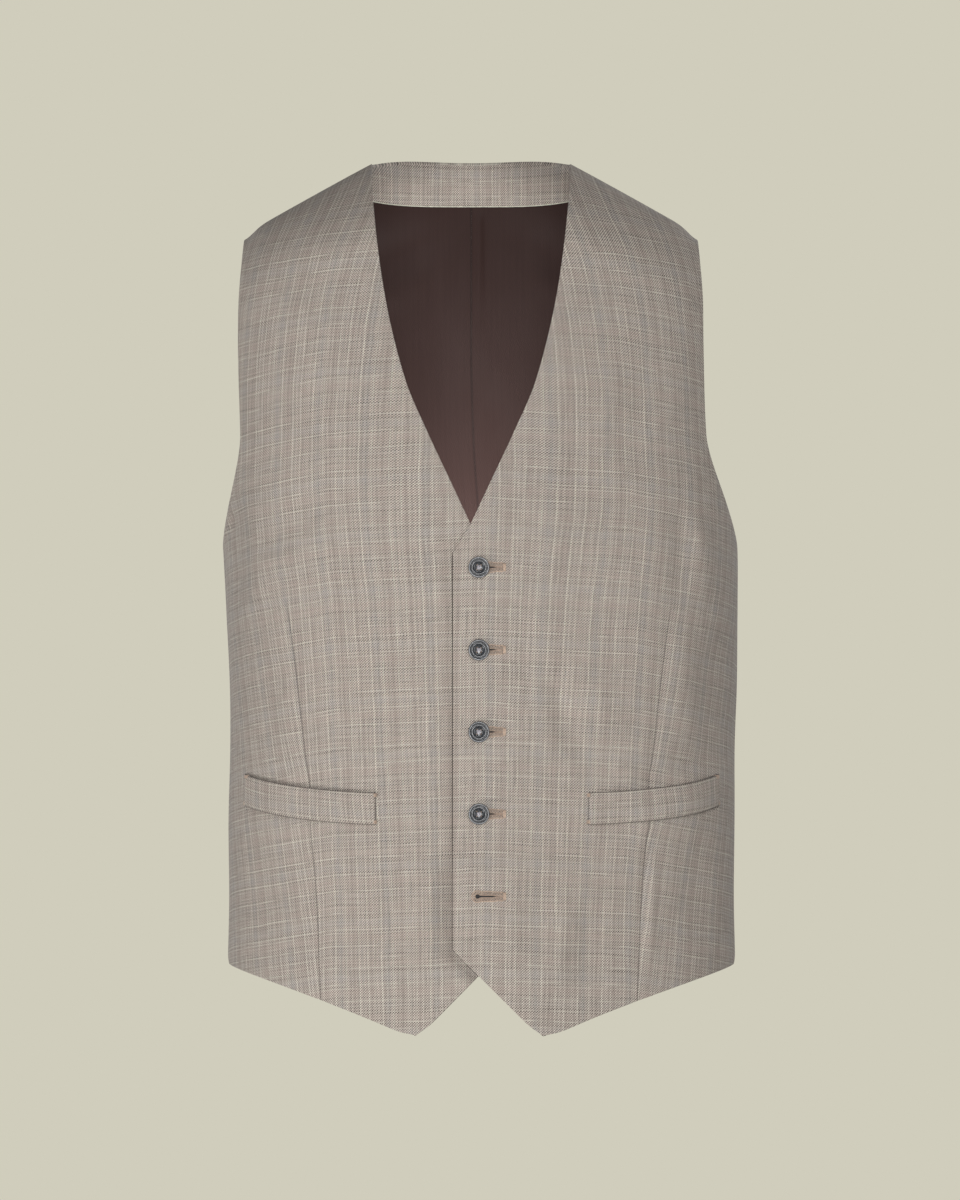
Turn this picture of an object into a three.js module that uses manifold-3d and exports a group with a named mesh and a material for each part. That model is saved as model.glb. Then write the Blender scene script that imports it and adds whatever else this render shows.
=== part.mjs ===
// A suit waistcoat, filled out as it is worn, with nobody in it. All sizes are in millimetres.
// X runs to the viewer's right, Y from the front to the back, and Z up.
// The origin lies midway between the two shoulder seams, at half their height.
// The cloth follows one smooth form. A place on it is an angle round the body and a height:
// the angle is 0 at the centre front, 90 degrees at the side seam and 180 at the centre back.

import * as THREE from 'three';
import { mergeVertices } from 'three/addons/utils/BufferGeometryUtils.js';
import Module from 'manifold-3d';

// Cloth thicknesses and the parting at each seam
const frontThickness = 2.0;
const backThickness = 1.2;
const liningThickness = 1.0;
const bandThickness = 2.4;
const weltThickness = 1.6;
const seamGap = 0.3;

// Horizontal sections of the form, from the neck down to below the points of the hem.
// half: from the section's centre to the side; front and back: from the sides to the middle.
const sections = [
  { z: 30, half: 182, front: 54, back: 98, centre: -5.8 },
  { z: 0, half: 182, front: 74, back: 95, centre: -5.8 },
  { z: -26, half: 182, front: 88, back: 100, centre: -5.8 },
  { z: -60, half: 182, front: 99, back: 107, centre: -5.8 },
  { z: -110, half: 182, front: 113, back: 116, centre: -5.8 },
  { z: -170, half: 182, front: 122, back: 120, centre: -4.0 },
  { z: -215, half: 184.5, front: 125.5, back: 119, centre: -1.0 },
  { z: -250, half: 185, front: 126, back: 116, centre: 0.9 },
  { z: -290, half: 184, front: 125, back: 111, centre: 2.0 },
  { z: -345, half: 182.5, front: 122.5, back: 104, centre: 3.2 },
  { z: -390, half: 181.5, front: 121.5, back: 100.5, centre: 2.6 },
  { z: -445, half: 182, front: 122, back: 102, centre: 1.8 },
  { z: -500, half: 181.5, front: 124, back: 107, centre: 1.8 },
  { z: -550, half: 182.5, front: 126, back: 112, centre: 1.8 },
  { z: -600, half: 183, front: 127.5, back: 115, centre: 1.8 },
];
const sideRound = 0.03;
const frontFlat = 0.03;
const backFlat = 0.06;

// Shoulders: the seam falls from the neck to the tip, and the cloth rolls over it
const neckCentre = -5.8;
const neckHalf = 71.4;
const neckZ = 28;
const shoulderSlope = 0.575;
const ridgeRound = 30;
const frontRoll = 64;
const backRoll = 70;

// Armholes
const armpitZ = -250;
const armholeCut = THREE.MathUtils.degToRad(28);
const armholeBend = 80;
const tipCut = THREE.MathUtils.degToRad(1.6);
const tipCutTopZ = -26;
const tipCutLowZ = -80;
const armholeRows = 1.3;

// Front edges. across: from the centre line, with the lap past it below 0
const lap = 18;
const breakZ = -253;
const crossingZ = -233;
const cutawayZ = -529;
const pointAcross = 44;
const pointZ = -591.5;
const sideHemZ = -546;
const hemBow = 2.6;
const bodyBow = 2;
const bowTopZ = -440;
const neckline = [
  { z: 28, across: 71.4 },
  { z: -2, across: 69.6 },
  { z: -73, across: 60.0 },
  { z: -132, across: 45.6 },
  { z: -168, across: 30.4 },
  { z: -200, across: 15.4 },
  { z: -233, across: 0 },
];

// The lapping front stands clear of the one under it, and more so below the last fastened button
const lapLift = 2.6;
const looseLift = 4.2;
const liftInner = 20;
const liftOuter = 90;
const lapFrom = { z: -170, full: -220 };
const looseFrom = { z: -447, full: -484 };

// Back and neck band
const backHemZ = -550;
const bandLowZ = 5;
const neckBackZ = 35;
const bandEnd = 0.6;
const columnsBack = 10;

// Buttons, from the top one down
const buttonCount = 5;
const buttonTopZ = -263;
const buttonPitch = 57.2;
const buttonHoleRadius = 0.85;
const buttonHoleOut = 1.3;
const buttonProfile = [
  { out: 0, up: 0 },
  { out: 6.0, up: 0 },
  { out: 7.1, up: 0.7 },
  { out: 7.5, up: 1.8 },
  { out: 7.1, up: 2.8 },
  { out: 6.5, up: 3.1 },
  { out: 5.9, up: 2.8 },
  { out: 5.5, up: 2.3 },
  { out: 5.0, up: 2.6 },
  { out: 4.4, up: 2.6 },
  { out: 3.6, up: 1.9 },
  { out: 0, up: 1.7 },
];

// Welts of the two hip pockets
const weltStart = THREE.MathUtils.degToRad(21.5);
const weltEnd = THREE.MathUtils.degToRad(64);
const weltTopZ = -420;
const weltRise = 11;
const weltHeight = 22.6;
const weltBow = 1.5;

const wasm = await Module();
wasm.setup();

const quarter = Math.PI / 2;
const mix = THREE.MathUtils.lerp;

// Reads one column of a table at height z, along a smooth curve through its rows
function readTable(table, column, z) {
  const last = table.length - 1;
  const slope = (i) => {
    const upper = table[Math.max(0, i - 1)];
    const lower = table[Math.min(last, i + 1)];
    return (lower[column] - upper[column]) / (lower.z - upper.z);
  };
  let i = 0;
  while (i < last - 1 && z < table[i + 1].z) i += 1;
  const step = table[i + 1].z - table[i].z;
  const t = THREE.MathUtils.clamp((z - table[i].z) / step, 0, 1);
  const start = table[i][column];
  const end = table[i + 1][column];
  const a = slope(i) * step - (end - start);
  const b = -slope(i + 1) * step + (end - start);
  return mix(start, end, t) + t * (1 - t) * (a * (1 - t) + b * t);
}

// How far across a section a given angle lies, as a share of its half width
function acrossAt(angle) {
  return (Math.sin(angle) + sideRound * Math.sin(3 * angle)) / (1 - sideRound);
}

// The angle that lies a given share across, on the front half of a section
function angleAt(share) {
  let low = -quarter;
  let high = quarter;
  for (let i = 0; i < 40; i += 1) {
    const middle = (low + high) / 2;
    if (acrossAt(middle) < share) low = middle;
    else high = middle;
  }
  return (low + high) / 2;
}

function shoulderLine(x) {
  const reach = (offset) => Math.hypot(offset, ridgeRound);
  return neckZ + shoulderSlope * (reach(neckHalf) - reach(x - neckCentre));
}

function formX(side, angle, z) {
  return readTable(sections, 'centre', z) + side * readTable(sections, 'half', z) * acrossAt(angle);
}

// A point of the form. side is 1 for the viewer's right and -1 for the left
function formPoint(side, angle, z) {
  const isBack = angle > quarter;
  const flat = isBack ? backFlat : frontFlat;
  const depth = readTable(sections, isBack ? 'back' : 'front', z);
  const share = (Math.cos(angle) - flat * Math.cos(3 * angle)) / (1 - flat);
  const x = formX(side, angle, z);
  const fall = THREE.MathUtils.clamp((shoulderLine(x) - z) / (isBack ? backRoll : frontRoll), 0, 1);
  return new THREE.Vector3(x, -depth * share * Math.sqrt(1 - (1 - fall) ** 2), z);
}

// The outward direction of the form, from one step along the shoulder's slope and one down
function formNormal(side, angle, z) {
  const turn = 0.002;
  const drop = 0.01;
  const here = shoulderLine(formX(side, angle, z));
  const beside = (a) => formPoint(side, a, z + shoulderLine(formX(side, a, z)) - here);
  const along = beside(angle + turn).sub(beside(angle - turn));
  const up = formPoint(side, angle, z).sub(formPoint(side, angle, z - drop));
  return along.cross(up).multiplyScalar(side).normalize();
}

// Where the armhole's edge lies at a height, as an angle short of the side seam
function armholeAngle(z) {
  const t = THREE.MathUtils.clamp((z - armpitZ) / armholeBend, 0, 1);
  const tip = THREE.MathUtils.smoothstep(z, tipCutLowZ, tipCutTopZ);
  return armholeCut * (1 - (1 - t) ** 1.5) ** (2 / 3) + tipCut * tip;
}

// The outer end of the shoulder seam
const tipX = formX(1, quarter - armholeCut - tipCut, tipCutTopZ);
const tipZ = shoulderLine(tipX);

// A row's height at x, kept in step with the line that the top row ends on
function heightInStep(topAt, x, ends, g) {
  const drops = ends.map((end) => topAt(end.x) - end.z);
  return topAt(x) - mix(drops[0], drops[1], g);
}

// Heights of the rows where the cloth rolls over the shoulder, as shares of the roll
function rollDrop(step, steps) {
  return 1 - Math.cos((quarter * (steps - step)) / steps);
}

// Stretches of a front's edge from the hem up to the armpit, and the side seam's height at each
const frontStretches = [
  { steps: 4, centre: 0, across: pointAcross, edgeZ: pointZ, sideZ: sideHemZ },
  { steps: 12, centre: 0, across: -lap, edgeZ: cutawayZ, sideZ: -490 },
  { steps: 1, centre: 0, across: -lap, edgeZ: breakZ, sideZ: -262 },
  { steps: 0, centre: neckCentre, across: 0, edgeZ: crossingZ, sideZ: armpitZ },
];
const upperRows = 8;
const rollRows = 5;

function frontRows() {
  const rows = [];
  frontStretches.forEach((from, k) => {
    const to = frontStretches[k + 1];
    for (let i = 0; i < from.steps; i += 1) {
      const row = { straight: 0 };
      for (const key of ['centre', 'across', 'edgeZ', 'sideZ']) {
        row[key] = mix(from[key], to[key], i / from.steps);
      }
      rows.push(row);
    }
  });
  const rollEdgeZ = neckZ - frontRoll;
  const rollSideZ = tipZ - frontRoll;
  for (let i = 0; i <= upperRows + rollRows; i += 1) {
    const t = Math.min(1, i / upperRows);
    const lift = i > upperRows ? 1 - rollDrop(i - upperRows, rollRows) : 0;
    const edgeZ = mix(crossingZ, rollEdgeZ, t) + lift * frontRoll;
    const sideZ = mix(armpitZ, rollSideZ, t ** armholeRows) + lift * frontRoll;
    const across = readTable(neckline, 'across', edgeZ);
    rows.push({ across, edgeZ, sideZ, centre: neckCentre, straight: t });
  }
  return rows;
}

// How far out x lies on its side of a section, as a share of the half width
function shareAt(side, x, z) {
  return (side * (x - readTable(sections, 'centre', z))) / readTable(sections, 'half', z);
}

// The place on the form of column g of a front's row: 0 at the front edge, 1 at the side
function frontPlace(side, row, g) {
  const edgeX = row.centre + side * row.across;
  const edgeAngle = angleAt(shareAt(side, edgeX, row.edgeZ));
  const sideAngle = quarter - armholeAngle(row.sideZ);
  const sideX = formX(side, sideAngle, row.sideZ);
  const x = mix(edgeX, sideX, g);
  const bow = mix(hemBow, bodyBow, THREE.MathUtils.smoothstep(row.edgeZ, pointZ, bowTopZ));
  const bowedZ = mix(row.edgeZ, row.sideZ, 1 - (1 - g) ** bow);
  const ends = [{ x: edgeX, z: row.edgeZ }, { x: sideX, z: row.sideZ }];
  const z = mix(bowedZ, heightInStep(shoulderLine, x, ends, g), row.straight);
  const straightAngle = g === 1 ? sideAngle : angleAt(shareAt(side, x, z));
  return { angle: mix(mix(edgeAngle, sideAngle, g), straightAngle, row.straight), z };
}

// How far the lapping front stands off at a point
function liftAt(x, z) {
  const beside = 1 - THREE.MathUtils.smoothstep(x, liftInner, liftOuter);
  const below = 1 - THREE.MathUtils.smoothstep(z, lapFrom.full, lapFrom.z);
  const loose = 1 - THREE.MathUtils.smoothstep(z, looseFrom.full, looseFrom.z);
  return beside * (lapLift * below + looseLift * loose);
}

// Rows of the back from the hem up, and the place on the form of each of their columns
const backSteps = { body: 12, blade: 8, roll: 5 };

function backRows() {
  const rows = [];
  for (let i = 0; i < backSteps.body; i += 1) {
    const t = i / backSteps.body;
    rows.push({ centreZ: mix(backHemZ, armpitZ, t), sideZ: mix(sideHemZ, armpitZ, t), straight: 0 });
  }
  for (let i = 0; i <= backSteps.blade; i += 1) {
    const t = i / backSteps.blade;
    const centreZ = mix(armpitZ, bandLowZ - seamGap - backRoll, t);
    rows.push({ centreZ, sideZ: mix(armpitZ, tipZ - backRoll, t ** armholeRows), straight: t });
  }
  for (let i = 1; i <= backSteps.roll; i += 1) {
    const drop = backRoll * rollDrop(i, backSteps.roll);
    rows.push({ centreZ: bandLowZ - seamGap - drop, sideZ: tipZ - drop, straight: 1 });
  }
  return rows;
}

// The band's lower end on the shoulder seam
const bandEndX = neckCentre + bandEnd * (tipX - neckCentre);

// The band's lower edge: level across the back of the neck, then up to the shoulder seam
function bandLow(x) {
  const out = Math.min(1, Math.abs(x - neckCentre) / (bandEndX - neckCentre));
  return mix(bandLowZ, shoulderLine(bandEndX), out ** 4);
}

// The top edge of the back: under the band, then along the shoulder seam
function backTop(x) {
  const underBand = Math.abs(x - neckCentre) < bandEndX - neckCentre - seamGap;
  return underBand ? bandLow(x) - seamGap : shoulderLine(x);
}

function backPlace(side, row, g) {
  const sideAngle = quarter - armholeAngle(row.sideZ);
  const ends = [
    { x: readTable(sections, 'centre', row.centreZ), z: row.centreZ },
    { x: formX(side, sideAngle, row.sideZ), z: row.sideZ },
  ];
  const x = mix(ends[0].x, ends[1].x, g);
  const z = mix(mix(row.centreZ, row.sideZ, g), heightInStep(backTop, x, ends, g), row.straight);
  const straightAngle = g === 1 ? sideAngle : angleAt(shareAt(side, x, z));
  return { angle: Math.PI - mix(g * sideAngle, straightAngle, row.straight), z };
}

// A closed wall from a grid of outer points and a grid of inner ones
function wallGeometry(columns, rows, outerAt, innerAt) {
  const positions = [];
  const index = [];
  const at = (layer, i, j) => layer * (columns + 1) * (rows + 1) + j * (columns + 1) + i;
  for (const pointAt of [outerAt, innerAt]) {
    for (let j = 0; j <= rows; j += 1) {
      for (let i = 0; i <= columns; i += 1) positions.push(...pointAt(i, j).toArray());
    }
  }
  const quad = (a, b, c, d) => index.push(a, b, c, a, c, d);
  for (let j = 0; j < rows; j += 1) {
    for (let i = 0; i < columns; i += 1) {
      quad(at(0, i, j), at(0, i + 1, j), at(0, i + 1, j + 1), at(0, i, j + 1));
      quad(at(1, i, j), at(1, i, j + 1), at(1, i + 1, j + 1), at(1, i + 1, j));
    }
    quad(at(0, 0, j), at(0, 0, j + 1), at(1, 0, j + 1), at(1, 0, j));
    quad(at(0, columns, j), at(1, columns, j), at(1, columns, j + 1), at(0, columns, j + 1));
  }
  for (let i = 0; i < columns; i += 1) {
    quad(at(0, i, 0), at(1, i, 0), at(1, i + 1, 0), at(0, i + 1, 0));
    quad(at(0, i, rows), at(0, i + 1, rows), at(1, i + 1, rows), at(1, i, rows));
  }
  const geometry = new THREE.BufferGeometry();
  geometry.setAttribute('position', new THREE.Float32BufferAttribute(positions, 3));
  geometry.setIndex(index);
  if (enclosedVolume(geometry) < 0) index.reverse();
  geometry.setIndex(index);
  return geometry;
}

function enclosedVolume(geometry) {
  const points = geometry.getAttribute('position');
  const corners = [0, 1, 2].map(() => new THREE.Vector3());
  let volume = 0;
  for (let i = 0; i < geometry.index.count; i += 3) {
    corners.forEach((corner, k) => corner.fromBufferAttribute(points, geometry.index.getX(i + k)));
    volume += corners[0].dot(corners[1].clone().cross(corners[2])) / 6;
  }
  return volume;
}

// A point stood off the form along its outward direction
function standOff(side, place, distance) {
  const outward = formNormal(side, place.angle, place.z);
  return formPoint(side, place.angle, place.z).addScaledVector(outward, distance);
}

const cloth = { color: 0xa5988c, roughness: 0.85, metalness: 0 };
const lining = { color: 0x4a3533, roughness: 0.5, metalness: 0 };
const horn = { color: 0x4c5560, roughness: 0.3, metalness: 0 };
const waistcoat = new THREE.Group();

function addPiece(name, geometry, look) {
  const mesh = new THREE.Mesh(geometry, new THREE.MeshStandardMaterial(look));
  mesh.name = name;
  waistcoat.add(mesh);
  return mesh;
}

// The fronts: the viewer's right one laps over the left one
const columnsFront = 12;

function frontGeometry(side) {
  const rows = frontRows();
  const place = (i, j) => frontPlace(side, rows[j], i / columnsFront);
  const pointAt = (inward) => (i, j) => {
    const at = place(i, j);
    const lift = side > 0 ? liftAt(formX(side, at.angle, at.z), at.z) : 0;
    const point = standOff(side, at, lift - inward);
    const atShoulder = j === rows.length - 1;
    const atSideSeam = i === columnsFront && rows[j].sideZ <= armpitZ;
    if (atShoulder || atSideSeam) point.y -= seamGap / 2;
    return point;
  };
  return wallGeometry(columnsFront, rows.length - 1, pointAt(0), pointAt(frontThickness));
}

addPiece('front_over', frontGeometry(1), cloth);
addPiece('front_under', frontGeometry(-1), cloth);

// The back, outside and lining, each in two halves joined down the centre
function backGeometry(side, outward, inward, firstRow) {
  const rows = backRows().slice(firstRow);
  const pointAt = (distance) => (i, j) => {
    const at = backPlace(side, rows[j], i / columnsBack);
    const point = standOff(side, at, -distance);
    const g = i / columnsBack;
    const atShoulder = j === rows.length - 1 && g > bandEnd - 0.01;
    const atSideSeam = i === columnsBack && rows[j].sideZ <= armpitZ;
    if (atShoulder || atSideSeam) point.y += seamGap / 2;
    if (i === 0) point.x += (side * seamGap) / 2;
    return point;
  };
  return wallGeometry(columnsBack, rows.length - 1, pointAt(outward), pointAt(inward));
}

const liningOut = backThickness + seamGap;
for (const [name, side] of [['right', -1], ['left', 1]]) {
  addPiece(`back_${name}`, backGeometry(side, 0, backThickness, 0), lining);
  addPiece(`back_lining_${name}`, backGeometry(side, liningOut, liningOut + liningThickness, 1), lining);
}

// The band of front cloth round the back of the neck, from shoulder seam to shoulder seam
const bandHalfColumns = columnsBack * bandEnd;
const bandRows = 2;

function bandGeometry() {
  const pointAt = (inward) => (i, j) => {
    const step = i - bandHalfColumns;
    const side = step < 0 ? -1 : 1;
    const share = Math.abs(step) / bandHalfColumns;
    const upperX = neckHalf * Math.sin(share * quarter);
    const lowerX = (bandEndX - neckCentre - seamGap) * share;
    const upperZ = mix(neckBackZ, neckZ, Math.sin(share * quarter) ** 4);
    const out = mix(upperX, lowerX, j / bandRows);
    const isEnd = share === 1;
    const betweenZ = mix(upperZ, bandLow(neckCentre + lowerX), j / bandRows);
    const z = isEnd ? shoulderLine(neckCentre + out) : betweenZ;
    const angle = Math.PI - angleAt(out / readTable(sections, 'half', z));
    const point = standOff(side, { angle, z }, -inward);
    if (isEnd) point.y += seamGap / 2;
    return point;
  };
  return wallGeometry(2 * bandHalfColumns, bandRows, pointAt(0), pointAt(bandThickness));
}

addPiece('neck_band', bandGeometry(), cloth);

// The pocket welts lie on the fronts
const weltColumns = 10;
const weltRows = 2;

function weltGeometry(side) {
  const pointAt = (distance) => (i, j) => {
    const share = i / weltColumns;
    const angle = mix(weltStart, weltEnd, share);
    const z = weltTopZ + weltRise * share ** weltBow - (weltHeight * (weltRows - j)) / weltRows;
    return standOff(side, { angle, z }, distance);
  };
  return wallGeometry(weltColumns, weltRows, pointAt(seamGap + weltThickness), pointAt(seamGap));
}

addPiece('welt_left', weltGeometry(1), cloth);
addPiece('welt_right', weltGeometry(-1), cloth);

// Buttons: four fastened on the lapping front, and the open one on the front under it
function toSolid(geometry) {
  for (const name of ['normal', 'uv']) geometry.deleteAttribute(name);
  const merged = mergeVertices(geometry);
  const vertProperties = merged.getAttribute('position').array;
  const triVerts = new Uint32Array(merged.index.array);
  return new wasm.Manifold(new wasm.Mesh({ numProp: 3, vertProperties, triVerts }));
}

function toGeometry(solid) {
  const { vertProperties, triVerts } = solid.getMesh();
  const geometry = new THREE.BufferGeometry();
  geometry.setAttribute('position', new THREE.BufferAttribute(vertProperties, 3));
  geometry.setIndex(new THREE.BufferAttribute(triVerts, 1));
  return geometry;
}

function buttonGeometry() {
  const profile = buttonProfile.map(({ out, up }) => new THREE.Vector2(out, up));
  let solid = toSolid(new THREE.LatheGeometry(profile, 28));
  for (const [x, z] of [[1, 1], [1, -1], [-1, 1], [-1, -1]]) {
    const drill = new THREE.CylinderGeometry(buttonHoleRadius, buttonHoleRadius, 10, 8);
    drill.translate(x * buttonHoleOut, 0, z * buttonHoleOut);
    solid = solid.subtract(toSolid(drill));
  }
  return toGeometry(solid);
}

for (let i = 0; i < buttonCount; i += 1) {
  const z = buttonTopZ - i * buttonPitch;
  const isFastened = i < buttonCount - 1;
  const side = isFastened ? 1 : -1;
  const place = { angle: angleAt(shareAt(side, 0, z)), z };
  const lift = isFastened ? liftAt(0, z) : 0;
  const button = addPiece(`button_${i + 1}`, buttonGeometry(), horn);
  button.position.copy(standOff(side, place, lift + seamGap));
  const outward = formNormal(side, place.angle, z);
  button.quaternion.setFromUnitVectors(new THREE.Vector3(0, 1, 0), outward);
}

export default waistcoat;
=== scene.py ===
"""A suit waistcoat in checked worsted, filled out as it is worn, with nobody in it.

Sizes are in millimetres, and MM turns them into Blender's metres. X runs to the viewer's right, Y from the
front to the back, and Z up. The cloth follows one smooth form. A place on it is an angle round the body and
a height: the angle is 0 at the centre front, 90 degrees at the side seam and 180 at the centre back.
"""

import math

import bpy
import numpy as np
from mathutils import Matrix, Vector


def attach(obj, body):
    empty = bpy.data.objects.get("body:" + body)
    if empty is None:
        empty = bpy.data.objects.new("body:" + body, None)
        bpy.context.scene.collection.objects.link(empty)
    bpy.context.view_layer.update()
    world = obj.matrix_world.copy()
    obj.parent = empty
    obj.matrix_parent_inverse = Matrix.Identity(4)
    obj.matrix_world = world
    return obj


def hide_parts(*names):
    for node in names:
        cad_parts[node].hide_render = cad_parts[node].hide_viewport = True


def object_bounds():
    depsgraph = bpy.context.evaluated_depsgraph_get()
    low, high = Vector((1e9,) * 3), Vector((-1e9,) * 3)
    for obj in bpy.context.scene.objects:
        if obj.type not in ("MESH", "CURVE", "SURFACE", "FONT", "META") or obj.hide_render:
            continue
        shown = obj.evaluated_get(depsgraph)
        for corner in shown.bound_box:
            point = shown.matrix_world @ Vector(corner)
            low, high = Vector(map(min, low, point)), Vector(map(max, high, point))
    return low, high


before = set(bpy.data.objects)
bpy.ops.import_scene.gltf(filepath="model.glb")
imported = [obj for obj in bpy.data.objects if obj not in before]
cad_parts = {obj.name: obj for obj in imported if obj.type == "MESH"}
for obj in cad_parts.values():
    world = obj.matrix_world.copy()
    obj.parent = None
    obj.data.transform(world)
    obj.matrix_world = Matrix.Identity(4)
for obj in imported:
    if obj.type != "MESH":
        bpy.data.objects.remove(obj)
cad_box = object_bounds()

bl_info = {
    "name": "Suit waistcoat",
    "version": (1, 0, 0),
    "blender": (4, 5, 0),
    "location": "View3D > Sidebar > Waistcoat",
    "description": "Builds a checked suit waistcoat, with its sewing, on its packed frame",
    "category": "Object",
}

MM = 0.001
QUARTER = math.pi / 2

# Cloth thicknesses and the parting at each seam
FRONT_THICKNESS = 2.0
BACK_THICKNESS = 1.2
LINING_THICKNESS = 1.0
BAND_THICKNESS = 2.4
WELT_THICKNESS = 1.6
SEAM_GAP = 0.3
SEWN_GAP = 0.01

# Horizontal sections of the form, from the neck down to below the points of the hem.
# half: from the section's centre to the side; front and back: from the sides to the middle.
SECTIONS = [
    {"z": 30, "half": 182, "front": 54, "back": 98, "centre": -5.8},
    {"z": 0, "half": 182, "front": 74, "back": 95, "centre": -5.8},
    {"z": -26, "half": 182, "front": 88, "back": 100, "centre": -5.8},
    {"z": -60, "half": 182, "front": 99, "back": 107, "centre": -5.8},
    {"z": -110, "half": 182, "front": 113, "back": 116, "centre": -5.8},
    {"z": -170, "half": 182, "front": 122, "back": 120, "centre": -4.0},
    {"z": -215, "half": 184.5, "front": 125.5, "back": 119, "centre": -1.0},
    {"z": -250, "half": 185, "front": 126, "back": 116, "centre": 0.9},
    {"z": -290, "half": 184, "front": 125, "back": 111, "centre": 2.0},
    {"z": -345, "half": 182.5, "front": 122.5, "back": 104, "centre": 3.2},
    {"z": -390, "half": 181.5, "front": 121.5, "back": 100.5, "centre": 2.6},
    {"z": -445, "half": 182, "front": 122, "back": 102, "centre": 1.8},
    {"z": -500, "half": 181.5, "front": 124, "back": 107, "centre": 1.8},
    {"z": -550, "half": 182.5, "front": 126, "back": 112, "centre": 1.8},
    {"z": -600, "half": 183, "front": 127.5, "back": 115, "centre": 1.8},
]
SIDE_ROUND = 0.03
FRONT_FLAT = 0.03
BACK_FLAT = 0.06

# Shoulders: the seam falls from the neck to the tip, and the cloth rolls over it
NECK_CENTRE = -5.8
NECK_HALF = 71.4
NECK_Z = 28
SHOULDER_SLOPE = 0.575
RIDGE_ROUND = 30
FRONT_ROLL = 64
BACK_ROLL = 70

# Armholes. TIP: the outer end of the shoulder, which is rounded off
ARMPIT_Z = -250
ARMHOLE_CUT = math.radians(28)
ARMHOLE_BEND = 80
TIP_CUT = math.radians(1.6)
TIP_CUT_TOP_Z = -26
TIP_CUT_LOW_Z = -80
TIP_OUT = 162
TIP_ROUND = 4
TIP_ROUND_REACH = 8
ARMHOLE_ROWS = 1.3

# Front edges. across: from the centre line, with the lap past it below 0
LAP = 18
BREAK_Z = -253
CROSSING_Z = -233
CUTAWAY_Z = -529
POINT_ACROSS = 44
POINT_Z = -591.5
SIDE_HEM_Z = -546
FRONT_WIDTH = 220
POINT_ROUND = 2.6
POINT_ROUND_REACH = 7
SIDE_ROUND_UP = 9
SIDE_ROUND_REACH = 30
SIDE_ROUND_TOP = 60
HEM_BOW = 2.6
BODY_BOW = 2
BOW_TOP_Z = -440
NECKLINE = [
    {"z": 28, "across": 71.4},
    {"z": -2, "across": 69.6},
    {"z": -73, "across": 60.0},
    {"z": -132, "across": 45.6},
    {"z": -168, "across": 30.4},
    {"z": -200, "across": 15.4},
    {"z": -233, "across": 0},
]

# The lapping front stands clear of the one under it, and more so below the last fastened button
LAP_LIFT = 2.6
LOOSE_LIFT = 4.2
LIFT_INNER = 20
LIFT_OUTER = 90
LAP_FROM = {"z": -170, "full": -220}
LOOSE_FROM = {"z": -447, "full": -484}

# Back and neck band
BACK_HEM_Z = -550
BAND_LOW_Z = 5
NECK_BACK_Z = 35
BAND_END = 0.6

# Buttons, from the top one down
BUTTON_COUNT = 5
BUTTON_TOP_Z = -263
BUTTON_PITCH = 57.2

# Welts of the two hip pockets
WELT_START = math.radians(21.5)
WELT_END = math.radians(64)
WELT_TOP_Z = -420
WELT_RISE = 11
WELT_HEIGHT = 22.6
WELT_BOW = 1.5
WELT_LENGTH = 122
WELT_FLAT = 2.6
WELT_SEWN = 0.5

# Steps of each grid of points
COLUMNS_FRONT = 100
COLUMNS_BACK = 80
FINE_ROWS = 8
COLUMNS_BAND = 112
ROWS_BAND = 16
COLUMNS_WELT = 90
ROWS_WELT = 16


def mix(a, b, share):
    return a + (b - a) * share


def smooth(value, start, end):
    """0 at start, 1 at end, and an even S between them."""
    t = np.clip((np.asarray(value, float) - start) / (end - start), 0, 1)
    return t * t * (3 - 2 * t)


def read_table(table, column, z):
    """One column of a table at height z, along a smooth curve through its rows."""
    heights = np.array([row["z"] for row in table], float)
    values = np.array([row[column] for row in table], float)
    last = len(table) - 1
    i = np.clip(np.searchsorted(-heights, -np.asarray(z, float), side="left") - 1, 0, last - 1)
    above = np.maximum(0, np.arange(last + 1) - 1)
    below = np.minimum(last, np.arange(last + 1) + 1)
    slope = (values[below] - values[above]) / (heights[below] - heights[above])
    step = heights[i + 1] - heights[i]
    t = np.clip((z - heights[i]) / step, 0, 1)
    rise = values[i + 1] - values[i]
    bend = (slope[i] * step - rise) * (1 - t) + (rise - slope[i + 1] * step) * t
    return values[i] + rise * t + t * (1 - t) * bend


def across_at(angle):
    """How far across a section an angle lies, as a share of its half width."""
    return (np.sin(angle) + SIDE_ROUND * np.sin(3 * angle)) / (1 - SIDE_ROUND)


ANGLES = np.linspace(-QUARTER, QUARTER, 6001)
SHARES = across_at(ANGLES)


def angle_at(share):
    """The angle that lies a given share across, on the front half of a section."""
    return np.interp(share, SHARES, ANGLES)


def share_at(side, x, z):
    """How far out x lies on its side of a section, as a share of the half width."""
    return side * (x - read_table(SECTIONS, "centre", z)) / read_table(SECTIONS, "half", z)


def shoulder_line(x):
    out = x - NECK_CENTRE
    line = NECK_Z + SHOULDER_SLOPE * (math.hypot(NECK_HALF, RIDGE_ROUND) - np.hypot(out, RIDGE_ROUND))
    return line - TIP_ROUND * np.exp(-(((np.abs(out) - TIP_OUT) / TIP_ROUND_REACH) ** 2))


def form_x(side, angle, z):
    return read_table(SECTIONS, "centre", z) + side * read_table(SECTIONS, "half", z) * across_at(angle)


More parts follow.
